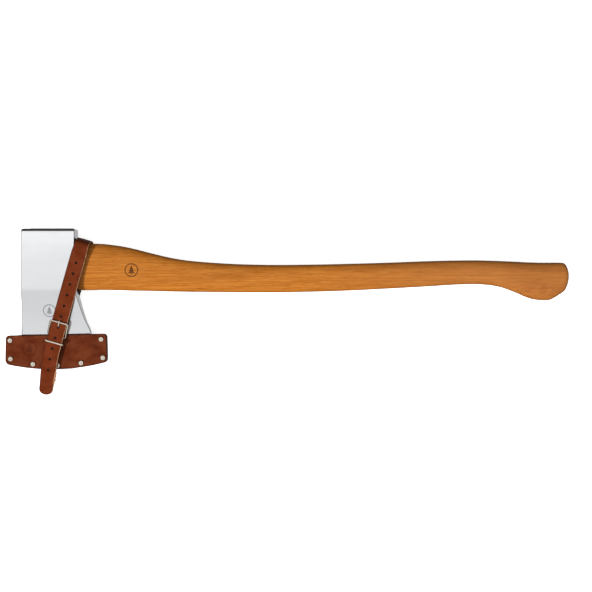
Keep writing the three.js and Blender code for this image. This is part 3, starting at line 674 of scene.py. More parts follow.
# ---- Geometry Nodes trees ----
def start_tree(name, inputs):
    """A geometry tree with its named inputs after the geometry. Returns it and its two end nodes."""
    tree = bpy.data.node_groups.new(name, "GeometryNodeTree")
    tree.interface.new_socket(name="Geometry", in_out="INPUT", socket_type="NodeSocketGeometry")
    for label, kind in inputs:
        tree.interface.new_socket(name=label, in_out="INPUT", socket_type=kind)
    tree.interface.new_socket(name="Geometry", in_out="OUTPUT", socket_type="NodeSocketGeometry")
    return tree, add_node(tree, "NodeGroupInput"), add_node(tree, "NodeGroupOutput")


def end_tree(tree, given, result, geometry, chosen=True):
    """Ends a tree: its geometry made real, with the Finish input on the chosen faces."""
    solid = add_node(tree, "GeometryNodeRealizeInstances", {0: geometry})
    inputs = {"Geometry": solid.outputs[0], "Selection": chosen, "Material": given.outputs["Finish"]}
    painted = add_node(tree, "GeometryNodeSetMaterial", inputs)
    tree.links.new(painted.outputs[0], result.inputs[0])
    return tree


def run_tree(piece, tree, values, sharp):
    """Puts a tree on a piece with its inputs by name, and turns the result into a plain mesh."""
    modifier = piece.modifiers.new(tree.name, "NODES")
    modifier.node_group = tree
    for item in tree.interface.items_tree:
        if item.in_out == "INPUT" and item.name in values:
            modifier[item.identifier] = values[item.name]
    return settle(piece, sharp)


def rivet_tree():
    """One rivet on each point of the input."""
    inputs = [("Rivet", "NodeSocketObject"), ("Finish", "NodeSocketMaterial")]
    tree, given, result = start_tree("rivets_on_seats", inputs)
    rivet = add_node(tree, "GeometryNodeObjectInfo", {"Object": given.outputs["Rivet"]})
    placed = add_node(
        tree,
        "GeometryNodeInstanceOnPoints",
        {"Points": given.outputs["Geometry"], "Instance": rivet.outputs["Geometry"]},
    )
    return end_tree(tree, given, result, placed.outputs[0])


def punch_tree():
    """Round holes through the input, one at each of the punch object's points."""
    inputs = [
        ("Punches", "NodeSocketObject"),
        ("Hole radius", "NodeSocketFloat"),
        ("Flesh side radius", "NodeSocketFloat"),
        ("Depth", "NodeSocketFloat"),
        ("Sides", "NodeSocketInt"),
        ("Finish", "NodeSocketMaterial"),
    ]
    tree, given, result = start_tree("punched_holes", inputs)
    punches = add_node(tree, "GeometryNodeObjectInfo", {"Object": given.outputs["Punches"]})
    tool = add_node(
        tree,
        "GeometryNodeMeshCone",
        {
            "Vertices": given.outputs["Sides"],
            "Radius Top": given.outputs["Hole radius"],
            "Radius Bottom": given.outputs["Flesh side radius"],
            "Depth": given.outputs["Depth"],
        },
    )
    wall = add_node(
        tree,
        "GeometryNodeStoreNamedAttribute",
        {"Geometry": tool.outputs["Mesh"], "Name": "hole_wall", "Value": True},
        data_type="BOOLEAN",
        domain="FACE",
    )
    turn = add_node(tree, "GeometryNodeInputNamedAttribute", {"Name": "turn"}, data_type="FLOAT_VECTOR")
    placed = add_node(
        tree,
        "GeometryNodeInstanceOnPoints",
        {
            "Points": punches.outputs["Geometry"],
            "Instance": wall.outputs[0],
            "Rotation": turn.outputs["Attribute"],
        },
    )
    tools = add_node(tree, "GeometryNodeRealizeInstances", {0: placed.outputs[0]})
    punched = add_node(tree, "GeometryNodeMeshBoolean", operation="DIFFERENCE", solver="EXACT")
    tree.links.new(given.outputs["Geometry"], punched.inputs["Mesh 1"])
    tree.links.new(tools.outputs[0], punched.inputs["Mesh 2"])
    is_wall = add_node(tree, "GeometryNodeInputNamedAttribute", {"Name": "hole_wall"}, data_type="BOOLEAN")
    return end_tree(tree, given, result, punched.outputs[0], is_wall.outputs["Attribute"])


def wire_tree():
    """A round wire along the input's edges."""
    inputs = [
        ("Wire radius", "NodeSocketFloat"),
        ("Sides", "NodeSocketInt"),
        ("Finish", "NodeSocketMaterial"),
    ]
    tree, given, result = start_tree("round_wire", inputs)
    line = add_node(tree, "GeometryNodeMeshToCurve", {0: given.outputs["Geometry"]})
    ring = add_node(
        tree,
        "GeometryNodeCurvePrimitiveCircle",
        {"Resolution": given.outputs["Sides"], "Radius": given.outputs["Wire radius"]},
    )
    wire = add_node(
        tree,
        "GeometryNodeCurveToMesh",
        {"Curve": line.outputs[0], "Profile Curve": ring.outputs["Curve"]},
    )
    return end_tree(tree, given, result, wire.outputs[0])


def rivets_at(name, seats, profile):
    """Copies of one turned rivet at each seat, in mm, as one piece on the guard."""
    points, faces = lathe(profile)
    rivet = make_piece("rivet_pattern", points, faces, [finish("nickel")], sharp=50)
    rivet.data.transform(matrix_from_row())
    spots = bpy.data.meshes.new(name)
    spots.from_pydata(to_row(seats).tolist(), [], [])
    row = link(name, spots)
    run_tree(row, rivet_tree(), {"Rivet": rivet, "Finish": finish("nickel")}, sharp=50)
    bpy.data.objects.remove(rivet)
    return row


def matrix_from_row():
    """Moves a mesh from the eye's middle to the origin."""
    return Matrix.Translation(-Vector(EYE))


# ---- Settings ----
class AxeSettings(PropertyGroup):
    """Sizes and colours that a user would change."""

    edge_radius: FloatProperty(name="Head edge radius", description="Rounding of the head's edges, in mm",
                               default=1.4, min=0.2, max=4)
    rivet_radius: FloatProperty(name="Rivet radius", description="Radius of the guard's rivet caps, in mm",
                                default=4, min=2, max=6)
    hole_radius: FloatProperty(name="Strap hole radius", description="Radius of the strap's holes, in mm",
                               default=2.5, min=1, max=3)
    hole_pitch: FloatProperty(name="Strap hole pitch", description="Distance between strap holes, in mm",
                              default=16.3, min=8, max=30)
    holes_above: IntProperty(name="Holes above the prong", description="Strap holes towards the fold",
                             default=6, min=0, max=8)
    holes_below: IntProperty(name="Holes below the prong", description="Strap holes towards the tail",
                             default=4, min=0, max=4)
    strap_width: FloatProperty(name="Strap width", description="Width of the strap, in mm",
                               default=23, min=15, max=23.2)
    wire_radius: FloatProperty(name="Buckle wire radius", description="Radius of the buckle's wire, in mm",
                               default=1.4, min=0.8, max=1.4)
    wood_light: FloatVectorProperty(name="Light wood", description="Colour between the grain lines",
                                    subtype="COLOR", size=3, default=colour("#B87026")[:3], min=0, max=1)
    wood_dark: FloatVectorProperty(name="Dark wood", description="Colour of the grain lines",
                                   subtype="COLOR", size=3, default=colour("#A15D18")[:3], min=0, max=1)
    guard_leather: FloatVectorProperty(name="Guard leather", description="Colour of the guard's leather",
                                       subtype="COLOR", size=3, default=colour("#673018")[:3], min=0, max=1)
    strap_leather: FloatVectorProperty(name="Strap leather", description="Colour of the strap's leather",
                                       subtype="COLOR", size=3, default=colour("#6A2E15")[:3], min=0, max=1)
    nickel: FloatVectorProperty(name="Nickel", description="Colour of the buckle and rivets",
                                subtype="COLOR", size=3, default=colour("#EADFCF")[:3], min=0, max=1)
    floor_glow: FloatProperty(name="Floor glow", description="Light that the paper sweep gives of its own",
                              default=0.72, min=0, max=1)
    key_strength: FloatProperty(name="Key light", description="Strength of the key light", default=3.5, min=0)


# ---- Head ----
POLL_ROUND = 2
CHEEK_SUPPORT = 0.2  # how far in from the rounded edges the cheek's first points are


def head_rings(edge_radius):
    """Slices across the head from the edge to the poll, their corners rounded."""
    ys = np.concatenate([
        np.linspace(HEAD_EDGE_Y, -128, 8), np.arange(-126, 45, 2.4), np.linspace(45.5, POLL_Y, 18),
    ])
    corner = np.linspace(0, np.pi / 2, 6)
    rings = []
    for y in ys:
        half = float(through(HALF_THICKNESS, y))
        near_poll = np.clip((y - (POLL_Y - POLL_ROUND)) / POLL_ROUND, 0, 1)
        inset = POLL_ROUND * (1 - math.sqrt(1 - near_poll**2))
        left = float(through(LEFT_EDGE, y)) + inset
        right = float(through(RIGHT_EDGE, y)) - inset
        r = min(edge_radius, half * 0.6)
        inner = np.linspace(left + r, right - r, 30)[1:-1]
        cheek = [left + r + CHEEK_SUPPORT, *inner, right - r - CHEEK_SUPPORT]
        arc_w, arc_h = r * (1 - np.sin(corner)), half - r * (1 - np.cos(corner))
        upper = [(left + w, h) for w, h in zip(arc_w[::-1], arc_h[::-1])]
        upper += [(x, half) for x in cheek]
        upper += [(right - w, h) for w, h in zip(arc_w[1:][::-1], arc_h[1:][::-1])][::-1]
        upper = [(left, 0.0)] + upper + [(right, 0.0)]
        lower = [(x, -z) for x, z in upper[-2:0:-1]]
        flat = np.array(upper + lower)
        bow = smooth((-40 - y) / 90) * (flat[:, 0] - BIT_CENTRE_X) ** 2 / (2 * BIT_RADIUS)
        rings.append(np.stack([flat[:, 0], y + bow, flat[:, 1]], axis=1))
    return np.array(rings)


def stadium_prism(length, width, x0, x1, segments=16):
    """Rings of a prism along X whose section is a stadium, long in Y."""
    r, straight = width / 2, length / 2 - width / 2
    top = np.linspace(0, np.pi, segments)
    ring = [(straight + r * math.sin(a), r * math.cos(a)) for a in top]
    ring += [(-straight - r * math.sin(a), -r * math.cos(a)) for a in top]
    return np.array([[(x, y, z) for y, z in ring] for x in (x0, x1)])


class AXE_OT_head(Operator):
    """Build the polished head with its eye"""

    bl_idname = "axe.head"
    bl_label = "Head"

    def execute(self, context):
        points, faces = loft(head_rings(context.scene.axe_settings.edge_radius))
        head = make_piece("head", points, faces, [finish("steel")], sharp=28)
        tool = make_piece("eye_tool", *loft(stadium_prism(EYE_LENGTH, EYE_WIDTH, -60, 60)), [finish("steel")])
        cut(head, tool, 28)
        rounded = [abs(face.normal.y) < 0.999 for face in head.data.polygons]  # all but the poll's face
        head.data.polygons.foreach_set("use_smooth", rounded)
        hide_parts("axe_head")
        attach(head, "axe")
        return {"FINISHED"}


# ---- Handle and wedges ----
def handle_rings(around=56):
    """Slices along the handle: a stadium in the eye, then a soft superellipse to the knob."""
    known = np.array(STATIONS)
    xs = np.concatenate([
        np.linspace(-38.7, 39.4, 6), np.linspace(39.8, 50, 14), np.arange(52, 690, 3.6),
        np.arange(691, 750, 1.6), np.linspace(750.5, HANDLE_END_X, 20),
    ])
    top, bottom, half = (through(known[:, [0, k]], xs) for k in (1, 2, 3))
    turn = np.linspace(0, 2 * np.pi, around, endpoint=False)
    c, s = np.cos(turn), np.sin(turn)
    bluntness = (0.9, 0.84)  # in Y and in Z: 1 makes an ellipse, less is blunter
    r = EYE_WIDTH / 2 - GAP
    eye_y = r * c + (EYE_LENGTH / 2 - GAP - r) * np.clip(c * 4, -1, 1)
    rings = []
    for x, t, b, h in zip(xs, top, bottom, half):
        out = float(smooth((x - 39.6) / 4))
        y = (t + b) / 2 + (t - b) / 2 * np.sign(c) * np.abs(c) ** bluntness[0]
        z = h * np.sign(s) * np.abs(s) ** bluntness[1]
        y, z = y * out + eye_y * (1 - out), z * out + r * s * (1 - out)
        rings.append(np.stack([np.full_like(y, x), y, z], axis=1))
    return np.array(rings)


WEDGE_DEPTH = 46
WEDGE_HALF_LENGTH = 28
RING_RADIUS = 9.5
RING_WALL = 2
RING_DEPTH = 13


def wedge_rings(grow):
    """The wooden wedge, thick at the outer end, or the kerf that it fills."""
    proud = 5 if grow else 0
    start = -HEAD_HALF_WIDTH + GAP - proud
    end = -HEAD_HALF_WIDTH + WEDGE_DEPTH + grow
    side = WEDGE_HALF_LENGTH + grow
    taper = 2.2 / (WEDGE_DEPTH - GAP)
    rings = []
    for x, half in ((start, 3 + grow + taper * proud), (end, 0.8 + grow)):
        rings.append([(x, y, z) for y, z in ((side, half), (-side, half), (-side, -half), (side, -half))])
    return np.array(rings)


def ring_rings(grow, sides=48):
    """The ring wedge, or the slot that it fills, as a loop of sections round X."""
    outer, inner = RING_RADIUS + grow, RING_RADIUS - RING_WALL - grow
    start, end = (-5, RING_DEPTH + grow) if grow else (0.4, RING_DEPTH)
    soft = 0 if grow else 0.35
    section = [
        (inner, start + soft), (inner + soft, start), (outer - soft, start), (outer, start + soft),
        (outer, end - soft), (outer - soft, end), (inner + soft, end), (inner, end - soft),
    ]
    turns = np.linspace(0, 2 * np.pi, sides, endpoint=False)
    return np.array([
        [(-HEAD_HALF_WIDTH + h, r * math.cos(a), r * math.sin(a)) for r, h in section] for a in turns
    ])


def ring_tool():
    """The slot's tool, closed round the handle's axis."""
    return make_piece("ring_tool", *loft(ring_rings(GAP), closed=True), [finish("ring")])


class AXE_OT_handle(Operator):
    """Build the hickory handle, split and slotted for its wedges"""

    bl_idname = "axe.handle"
    bl_label = "Handle"

    def execute(self, context):
        handle = make_piece("hickory_handle", *loft(handle_rings()), [finish("hickory")], sharp=50)
        cut(handle, make_piece("kerf_tool", *loft(wedge_rings(GAP)), [finish("hickory")]), 50)
        cut(handle, ring_tool(), 50)
        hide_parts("handle")
        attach(handle, "axe")
        return {"FINISHED"}


class AXE_OT_wedges(Operator):
    """Build the wooden wedge and the steel ring wedge"""

    bl_idname = "axe.wedges"
    bl_label = "Wedges"

    def execute(self, context):
        wedge = make_piece("beech_wedge", *loft(wedge_rings(0)), [finish("wedge")])
        cut(wedge, ring_tool())
        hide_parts("wooden_wedge")
        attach(wedge, "axe")
        ring = make_piece("steel_ring_wedge", *loft(ring_rings(0), closed=True), [finish("ring")])
        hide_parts("ring_wedge")
        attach(ring, "axe")
        return {"FINISHED"}


# ---- Guard ----
TOP_CORNER = 5
LOW_CORNERS = (6, 4.2)  # at the left end and at the right end
END_LEANS = (0.6, -1.0)  # how far the top of the left end and of the right end leans along X
ROUND_EDGE = 0.8
RIVET_DENT = (0.45, 3.6)  # depth round each rivet, and the radius that it spreads out from


def corner_drop(distance, radius):
    """How far a rounded corner falls away from its line, at a distance from the end."""
    inside = np.clip(radius - distance, 0, radius)
    return radius - np.sqrt(radius**2 - inside**2)


def panel_grid(inset, columns=128, rows=46):
    """Points of a guard panel's face, in from its outline by inset, and how far each is from it."""
    width = GUARD_RIGHT_X - GUARD_LEFT_X
    corner = LOW_CORNERS[0] * (1 - np.cos(np.linspace(0, np.pi / 2, 10)))
    middle = np.linspace(corner[-1], width - corner[-1], columns)
    along = np.concatenate([corner[:-1], middle, (width - corner[:-1])[::-1]])
    x = GUARD_LEFT_X + along
    near_end = np.minimum(along, width - along)
    share = along / width
    top_line = GUARD_TOP_LEFT_Y + (GUARD_TOP_RIGHT_Y - GUARD_TOP_LEFT_Y) * share
    top = top_line - corner_drop(near_end, TOP_CORNER)
    low = guard_arc(x) + corner_drop(near_end, np.where(share < 0.5, *LOW_CORNERS))
    squeeze = 1 - 2 * inset / width
    x = (x - GUARD_LEFT_X - width / 2) * squeeze + GUARD_LEFT_X + width / 2
    v = np.linspace(0, 1, rows)
    y = (low + inset)[:, None] * (1 - v) + (top - inset)[:, None] * v
    lean = np.where(share < 0.5, *END_LEANS) * smooth(1 - near_end / 20)
    x = x[:, None] + v[None, :] * lean[:, None]
    edge = np.minimum(np.minimum(y - low[:, None], top[:, None] - y), near_end[:, None] + inset)
    return x, y, np.maximum(edge, 0)


def rim_order(columns, rows):
    """Grid indices once round the outline."""
    low = [i * rows for i in range(columns)]
    right = [(columns - 1) * rows + j for j in range(1, rows)]
    top = [i * rows + rows - 1 for i in range(columns - 2, -1, -1)]
    left = [j for j in range(rows - 2, 0, -1)]
    return low + right + top + left


def guard_panel(name, side):
    """One swelled panel with a rounded rim, pressed in a little round each rivet."""
    outer_x, outer_y, outer_rim = panel_grid(ROUND_EDGE)
    inner_x, inner_y, inner_rim = panel_grid(0.3)
    columns, rows = outer_x.shape
    height = panel_outer(outer_x, outer_y)
    for x, y in EDGE_RIVETS:
        far = np.hypot(outer_x - x, outer_y - y)
        height = height - RIVET_DENT[0] * np.exp(-np.maximum(far - RIVET_DENT[1], 0) ** 2 / 3.2)
    under = panel_outer(inner_x, inner_y) - LEATHER
    order = rim_order(columns, rows)
    full_x, full_y, _ = panel_grid(0.0)
    part_x, part_y, _ = panel_grid(ROUND_EDGE * 0.3)
    layers = [
        (outer_x, outer_y, height, outer_rim),
        (part_x, part_y, panel_outer(part_x, part_y) - ROUND_EDGE * 0.3, outer_rim * 0),
        (full_x, full_y, panel_outer(full_x, full_y) - ROUND_EDGE, outer_rim * 0),
        (full_x, full_y, panel_outer(full_x, full_y) - LEATHER + 0.4, outer_rim * 0),
        (inner_x, inner_y, under, inner_rim),
    ]
    points, rims, loops = [], [], []
    for number, (x, y, z, rim) in enumerate(layers):
        cloud = np.stack([x, y, z * side], axis=-1).reshape(-1, 3)
        start = sum(len(p) for p in points)
        if number in (0, 4):
            points.append(cloud)
            rims.append(rim.reshape(-1))
            loops.append([start + k for k in order])
        else:
            points.append(cloud[order])
            rims.append(rim.reshape(-1)[order])
            loops.append([start + k for k in range(len(order))])
    faces, kinds = [], []
    for start in (0, sum(len(p) for p in points[:4])):
        for i in range(columns - 1):
            for j in range(rows - 1):
                a = start + i * rows + j
                faces.append((a, a + rows, a + rows + 1, a + 1))
        kinds += [0 if start == 0 else 2] * (len(faces) - len(kinds))
    for one, two in zip(loops[:-1], loops[1:]):
        count = len(one)
        faces += [(one[k], one[(k + 1) % count], two[(k + 1) % count], two[k]) for k in range(count)]
        kinds += [1] * count
    finishes = [finish("guard"), finish("dark_edge"), finish("flesh")]
    rim = np.concatenate(rims)
    return make_piece(name, np.concatenate(points), faces, finishes, kinds, 60, {"rim": rim})


class AXE_OT_guard(Operator):
    """Build the guard's two panels and the welt between them"""

    bl_idname = "axe.guard"
    bl_label = "Guard panels and welt"

    def execute(self, context):
        for name, side in (("front_panel", 1), ("back_panel", -1)):
            panel = guard_panel(name, side)
            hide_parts(f"guard_{name}")
            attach(panel, "guard")
        welt = copy_of_node("guard_welt", "welt", finish("dark_edge"), 0.4)
        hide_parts("guard_welt")
        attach(welt, "guard")
        return {"FINISHED"}


# ---- Rivets ----
POST_RADIUS = 3.6
CHAPE_TACK_SEAT = 4.5  # from the chape's seat on the panel up to the tacks' heads
STRAP_TACK_SEAT = 3.6


def tack(seat_height):
    """Half the outline of a tack whose stem goes through the panel from that height."""
    stem = seat_height + SEAT_ROOM + LEATHER + GAP
    return [
        (0, -stem - 0.45), (2.4, -stem - 0.45), (2.6, -stem - 0.2), (2.6, -stem), (1.6, -stem), (1.6, 0),
        (3.5, 0), (3.6, 0.2), (3.4, 0.6), (2.8, 0.95), (1.6, 1.15), (0, 1.2),
    ]


def head_seat(x, y, radius):
    """The highest of the panel's outer face under a round head."""
    turn = np.arange(8) * np.pi / 4
    return float(panel_outer(x + radius * np.cos(turn), y + radius * np.sin(turn)).max()) + 0.2


class AXE_OT_rivets(Operator):
    """Set the guard's edge rivets and the small rivets of the strap and the chape"""

    bl_idname = "axe.rivets"
    bl_label = "Rivets"

    def execute(self, context):
        r = context.scene.axe_settings.rivet_radius
        cap = [
            (0, -4.4), (1.6, -4.4), (1.6, 0), (r - 0.1, 0), (r, 0.25), (r - 0.15, 0.75), (r - 0.5, 1.2),
            (r - 1, 1.5), (2.4, 1.68), (1.7, 1.62), (1.25, 1.3), (0.8, 1.12), (0, 1.05),
        ]
        post = [
            (0, -1.2), (2.2, -1.2), (2.9, -1.1), (3.4, -0.8), (POST_RADIUS, -0.45), (POST_RADIUS, 0),
            (1.2, 0), (1.2, 4.6), (0, 4.6),
        ]
        cap_seats = [(x, y, head_seat(x, y, r)) for x, y in EDGE_RIVETS]
        post_seats = [(x, y, -head_seat(x, y, POST_RADIUS)) for x, y in EDGE_RIVETS]
        caps = rivets_at("edge_rivet_caps", cap_seats, cap)
        posts = rivets_at("edge_rivet_posts", post_seats, post)
        numbers = range(1, len(EDGE_RIVETS) + 1)
        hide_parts(*[f"rivet_cap_{n}" for n in numbers])
        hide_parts(*[f"rivet_post_{n}" for n in numbers])
        chape_seats = [on_strap(s, 0, float(seat(s)) + CHAPE_TACK_SEAT) for s in CHAPE_RIVETS_S]
        strap_seats = [on_strap(s, 0, -float(seat(s)) - STRAP_TACK_SEAT) for s in STRAP_RIVETS_S]
        chape_tacks = rivets_at("chape_rivets", chape_seats, tack(CHAPE_TACK_SEAT))
        down = [(radius, -height) for radius, height in tack(STRAP_TACK_SEAT)]
        strap_tacks = rivets_at("strap_rivets", strap_seats, down)
        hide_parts("chape_rivet_1", "chape_rivet_2")
        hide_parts("strap_rivet_1", "strap_rivet_2")
        for row in (caps, posts, chape_tacks, strap_tacks):
            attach(row, "guard")
        return {"FINISHED"}


# ---- Strap ----
TIP = 9  # length of the strap's rounded ends
BLEND_S = (14, 112)  # where the strap leaves the handle, and where it first follows the guard


def strap_path():
    """The strap's middle line as (s, z): tail, front leg, fold, back leg and fixed end."""
    half = LEATHER / 2
    tail = STRAP_END_S - TIP * (1 - np.cos(np.linspace(0, np.pi / 2, 9)))
    front_s = np.concatenate([tail, np.arange(tail[-1] - 2, FOLD_S + 1, -1.8)])
    front = np.stack([front_s, through(FRONT_LEG, front_s) + half], axis=1)
    turn = np.linspace(np.pi / 2, -np.pi / 2, 26)
    fold = np.stack([FOLD_S * (1 - np.cos(turn)), (OVER_CHEEK + half) * np.sin(turn)], axis=1)
    seats = [(s, -float(seat(s)) - half) for s in (144, 152, 160, 169, STRAP_ANCHOR_S)]
    cheek = [(FOLD_S, -OVER_CHEEK - half), (78, -OVER_CHEEK - half), (107, -15 - half)]
    knots = cheek + [(137, -float(seat(141)) - half - 0.4)] + seats
    back_s = np.concatenate([
        np.arange(FOLD_S + 2, STRAP_ANCHOR_S - TIP, 2.4),
        STRAP_ANCHOR_S - TIP * np.cos(np.linspace(0, np.pi / 2, 9)),
    ])
    back = np.stack([back_s, through(knots, back_s)], axis=1)
    return np.concatenate([front, fold, back]), len(front)


def tip_width(distance):
    """Share of the full width at a distance from a rounded tip."""
    t = np.clip(1 - distance / TIP, 0, 0.985)
    return (1 - t**2.3) ** (1 / 2.3)


def strip_section(half, thick, left, right, crown, spill):
    """A strip's section as (across, out): top, right edge, underside, left edge. spill frays the right."""
    h = thick / 2
    left, right = min(left, half * 0.4), min(right, half * 0.4)
    upper = [(w, h + crown * (1 - (w / half) ** 2)) for w in np.linspace(-half + left, half - right, 11)]
    wall = h - min(right * 0.8, thick * 0.45)
    right_side = [
        (half + spill * 0.5 - right * 0.35, h - right * 0.22), (half + spill, wall), (half, -h + 0.5),
    ]
    lower = [(w, -h) for w in np.linspace(half - 0.4, -half + 0.4, 11)]
    left_side = [(-half, -h + 0.5), (-half, h - left), (-half + left * 0.3, h - left * 0.3)]
    kinds = [0] * 10 + [1] * 2 + [3] * 2 + [2] * 10 + [3] * 4
    return np.array(upper + right_side + lower + left_side), kinds


def strip_rings(path, halves, thick, lefts, rights, crown=0.2, spills=None):
    """Rings of a strip that follows a path along the strap's line, its faces' kinds and its rims."""
    spills = np.zeros(len(path)) if spills is None else spills
    run = np.concatenate([[0], np.cumsum(np.linalg.norm(np.diff(path, axis=0), axis=1))])
    rings, kinds, rims = [], [], []
    rows = zip(path, path_normals(path), halves, lefts, rights, spills, run)
    for (s, z), (ns, nz), half, left, right, spill, at in rows:
        section, kinds = strip_section(half, thick, left, right, crown, spill)
        w, out = section.T
        rings.append(on_strap(s + out * ns, w, z + out * nz))
        rims.append(np.minimum(np.maximum(half - np.abs(w), 0), min(at, run[-1] - at)))
    return np.array(rings), kinds * (len(path) - 1) + [1, 1], np.concatenate(rims)


def hole_places(settings):
    """Places along the front leg of evenly pitched holes, counted from the prong's."""
    s = np.linspace(FOLD_S, STRAP_END_S, 800)
    z = through(FRONT_LEG, s)
    length = np.concatenate([[0], np.cumsum(np.hypot(np.diff(s), np.diff(z)))])
    numbers = np.arange(-settings.holes_above, settings.holes_below + 1)
    return np.interp(np.interp(PRONG_HOLE_S, s, length) + numbers * settings.hole_pitch, length, s)


def punch_points(settings):
    """An object whose points are the holes' middles, each with the turn of its punch."""
    mesh = bpy.data.meshes.new("punches")
    places = hole_places(settings)
    middles = on_strap(places, 0, through(FRONT_LEG, places) + LEATHER / 2)
    mesh.from_pydata(to_row(middles).tolist(), [], [])
    slope = (through(FRONT_LEG, places + 1) - through(FRONT_LEG, places - 1)) / 2
    tilt = np.interp(places, STRAP_LINE[0], STRAP_LINE[3])
    turn = np.stack([np.arctan(slope), np.zeros_like(tilt), -tilt], axis=1)
    turns = mesh.attributes.new("turn", "FLOAT_VECTOR", "POINT")
    turns.data.foreach_set("vector", turn.ravel().astype(np.float32))
    return link("punches", mesh)


class AXE_OT_strap(Operator):
    """Build the strap, folded over the handle, and punch its holes"""

    bl_idname = "axe.strap"
    bl_label = "Strap"

    def execute(self, context):
        settings = context.scene.axe_settings
        path, front_rows = strap_path()
        half = settings.strap_width / 2
        s = path[:, 0]
        is_front = np.arange(len(path)) < front_rows
        from_end = np.where(is_front, STRAP_END_S - s, 99.0)
        from_anchor = np.where(np.arange(len(path)) > front_rows + 26, STRAP_ANCHOR_S - s, 99.0)
        tail_taper = 1.3 * smooth((s - 190) / 40) * is_front
        halves = half - tail_taper - FOLD_SQUEEZE * smooth((22 - s) / 12)
        halves = halves * tip_width(from_end) * tip_width(from_anchor)
        frayed = smooth((s - 194) / 7) * smooth((217.5 - s) / 1.6) * is_front
        flutter = 1 + 0.3 * np.sin(s * 1.05) + 0.22 * np.sin(s * 2.7 + 1)
        spills = 1.15 * frayed * flutter
        rights = 0.95 + 0.8 * frayed
        lefts = np.full(len(path), 0.7)
        rings, kinds, rims = strip_rings(path, halves, LEATHER, lefts, rights, spills=spills)
        rings[..., 2] = np.maximum(rings[..., 2], GROUND)
        finishes = [finish("strap"), finish("tan_edge"), finish("flesh"), finish("dark_edge")]
        strap = make_piece("leather_strap", *loft(rings), finishes, kinds, 50, {"rim": rims})
        punches = punch_points(settings)
        run_tree(strap, punch_tree(), {
            "Punches": punches,
            "Hole radius": settings.hole_radius * MM,
            "Flesh side radius": settings.hole_radius * 0.6 * MM,
            "Depth": (LEATHER + 0.6) * MM,
            "Sides": 24,
            "Finish": finish("hole"),
        }, 50)
        bpy.data.objects.remove(punches)
        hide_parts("strap")
        start, end = (to_row(on_strap(s, 0, 0)) for s in BLEND_S)
        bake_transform(strap)
        return {"FINISHED"}


# ---- Chape ----
CHAPE_WIDTH = 20
CHAPE_THICK = 1.94
CHAPE_END_S = 180.5
CHAPE_BEND = 2.6
KEEPER_ROOM = 2.1
PRONG_SLOT_S = (141, 150)
PRONG_SLOT_HALF_WIDTH = 1.8
PRONG_SLOT_HEIGHT = (HEEL[1] - 8, HEEL[1] + 8)


def chape_path():
    """The folded tab's middle line: upper layer, over the keeper, round the heel bar, lower layer."""
    turn = np.linspace(np.pi / 2, 1.5 * np.pi, 15)
    radius = CHAPE_BEND
    bend = np.stack([HEEL[0] + radius * np.cos(turn), HEEL[1] + radius * np.sin(turn)], axis=1)
    upper = [(s, float(seat(s)) + 3 + lift) for s, lift in (
        (CHAPE_END_S, 0), (176, 0), (170, 0), (164.5, 0), (160, KEEPER_ROOM), (155, KEEPER_ROOM),
        (151, KEEPER_ROOM + 0.5),
    )]
    lower = [(s, float(seat(s)) + 1) for s in (151, 156, 162, 168, 174, CHAPE_END_S)]
    return soften(np.concatenate([upper, bend, lower]), 2)


class AXE_OT_chape(Operator):
    """Build the tab that holds the buckle, folded round the heel bar"""

    bl_idname = "axe.chape"
    bl_label = "Chape"

    def execute(self, context):
        path = chape_path()
        halves = np.full(len(path), CHAPE_WIDTH / 2)
        soft = np.full(len(path), 0.5)
        rings, kinds, rims = strip_rings(path, halves, CHAPE_THICK, soft, soft, 0.0)
        finishes = [finish("strap"), finish("dark_edge"), finish("flesh"), finish("dark_edge")]
        chape = make_piece("chape_tab", *loft(rings), finishes, kinds, 50, {"rim": rims})
        wide, low, high = PRONG_SLOT_HALF_WIDTH, *PRONG_SLOT_HEIGHT
        corners = ((-wide, low), (wide, low), (wide, high), (-wide, high))
        slot_rings = np.array([[on_strap(s, w, z) for w, z in corners] for s in PRONG_SLOT_S])
        cut(chape, make_piece("slot_tool", *loft(slot_rings), [finish("flesh")]), 50, own_crossings=True)
        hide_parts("chape")
        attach(chape, "guard")
        return {"FINISHED"}


# ---- Buckle ----
FRAME_HALF_WIDTH = 13.1
KEEPER_HALF_WIDTH = 13.5
KEEPER_HALF_THICK = 0.75


def loop_line(half_width, start, end, corner, steps=8):
    """A rounded rectangle through two places along the strap: its (w, l) points and outward normals."""
    length = math.hypot(end[0] - start[0], end[1] - start[1])
    turn = np.linspace(0, np.pi / 2, steps + 1)
    middles = [
        (half_width - corner, length - corner), (-half_width + corner, length - corner),
        (-half_width + corner, corner), (half_width - corner, corner),
    ]
    line = []
    for quarter, (w, l) in enumerate(middles):
        for a in turn + quarter * np.pi / 2:
            line.append((w + corner * math.cos(a), l + corner * math.sin(a), math.cos(a), math.sin(a)))
    return np.array(line), ((end[0] - start[0]) / length, (end[1] - start[1]) / length)


def loop_points(line, up, start, out=0.0, normal=0.0):
    """Places of a loop's points, moved outwards in its plane and along its normal."""
    w = line[:, 0] + out * line[:, 2]
    l = line[:, 1] + out * line[:, 3]
    return on_strap(start[0] + up[0] * l - up[1] * normal, w, start[1] + up[1] * l + up[0] * normal)


PRONG_EYE = 2.7
PRONG_SHANK = [
    (141, 15.3), (136.4, 15.4), (134.5, 15.9), (133.5, 17.1), (132.7, 18.6), (131.9, 20.1), (130.8, 21.6),
    (128.6, 23.1), (125, 24.6), (122.4, 24.9),
]


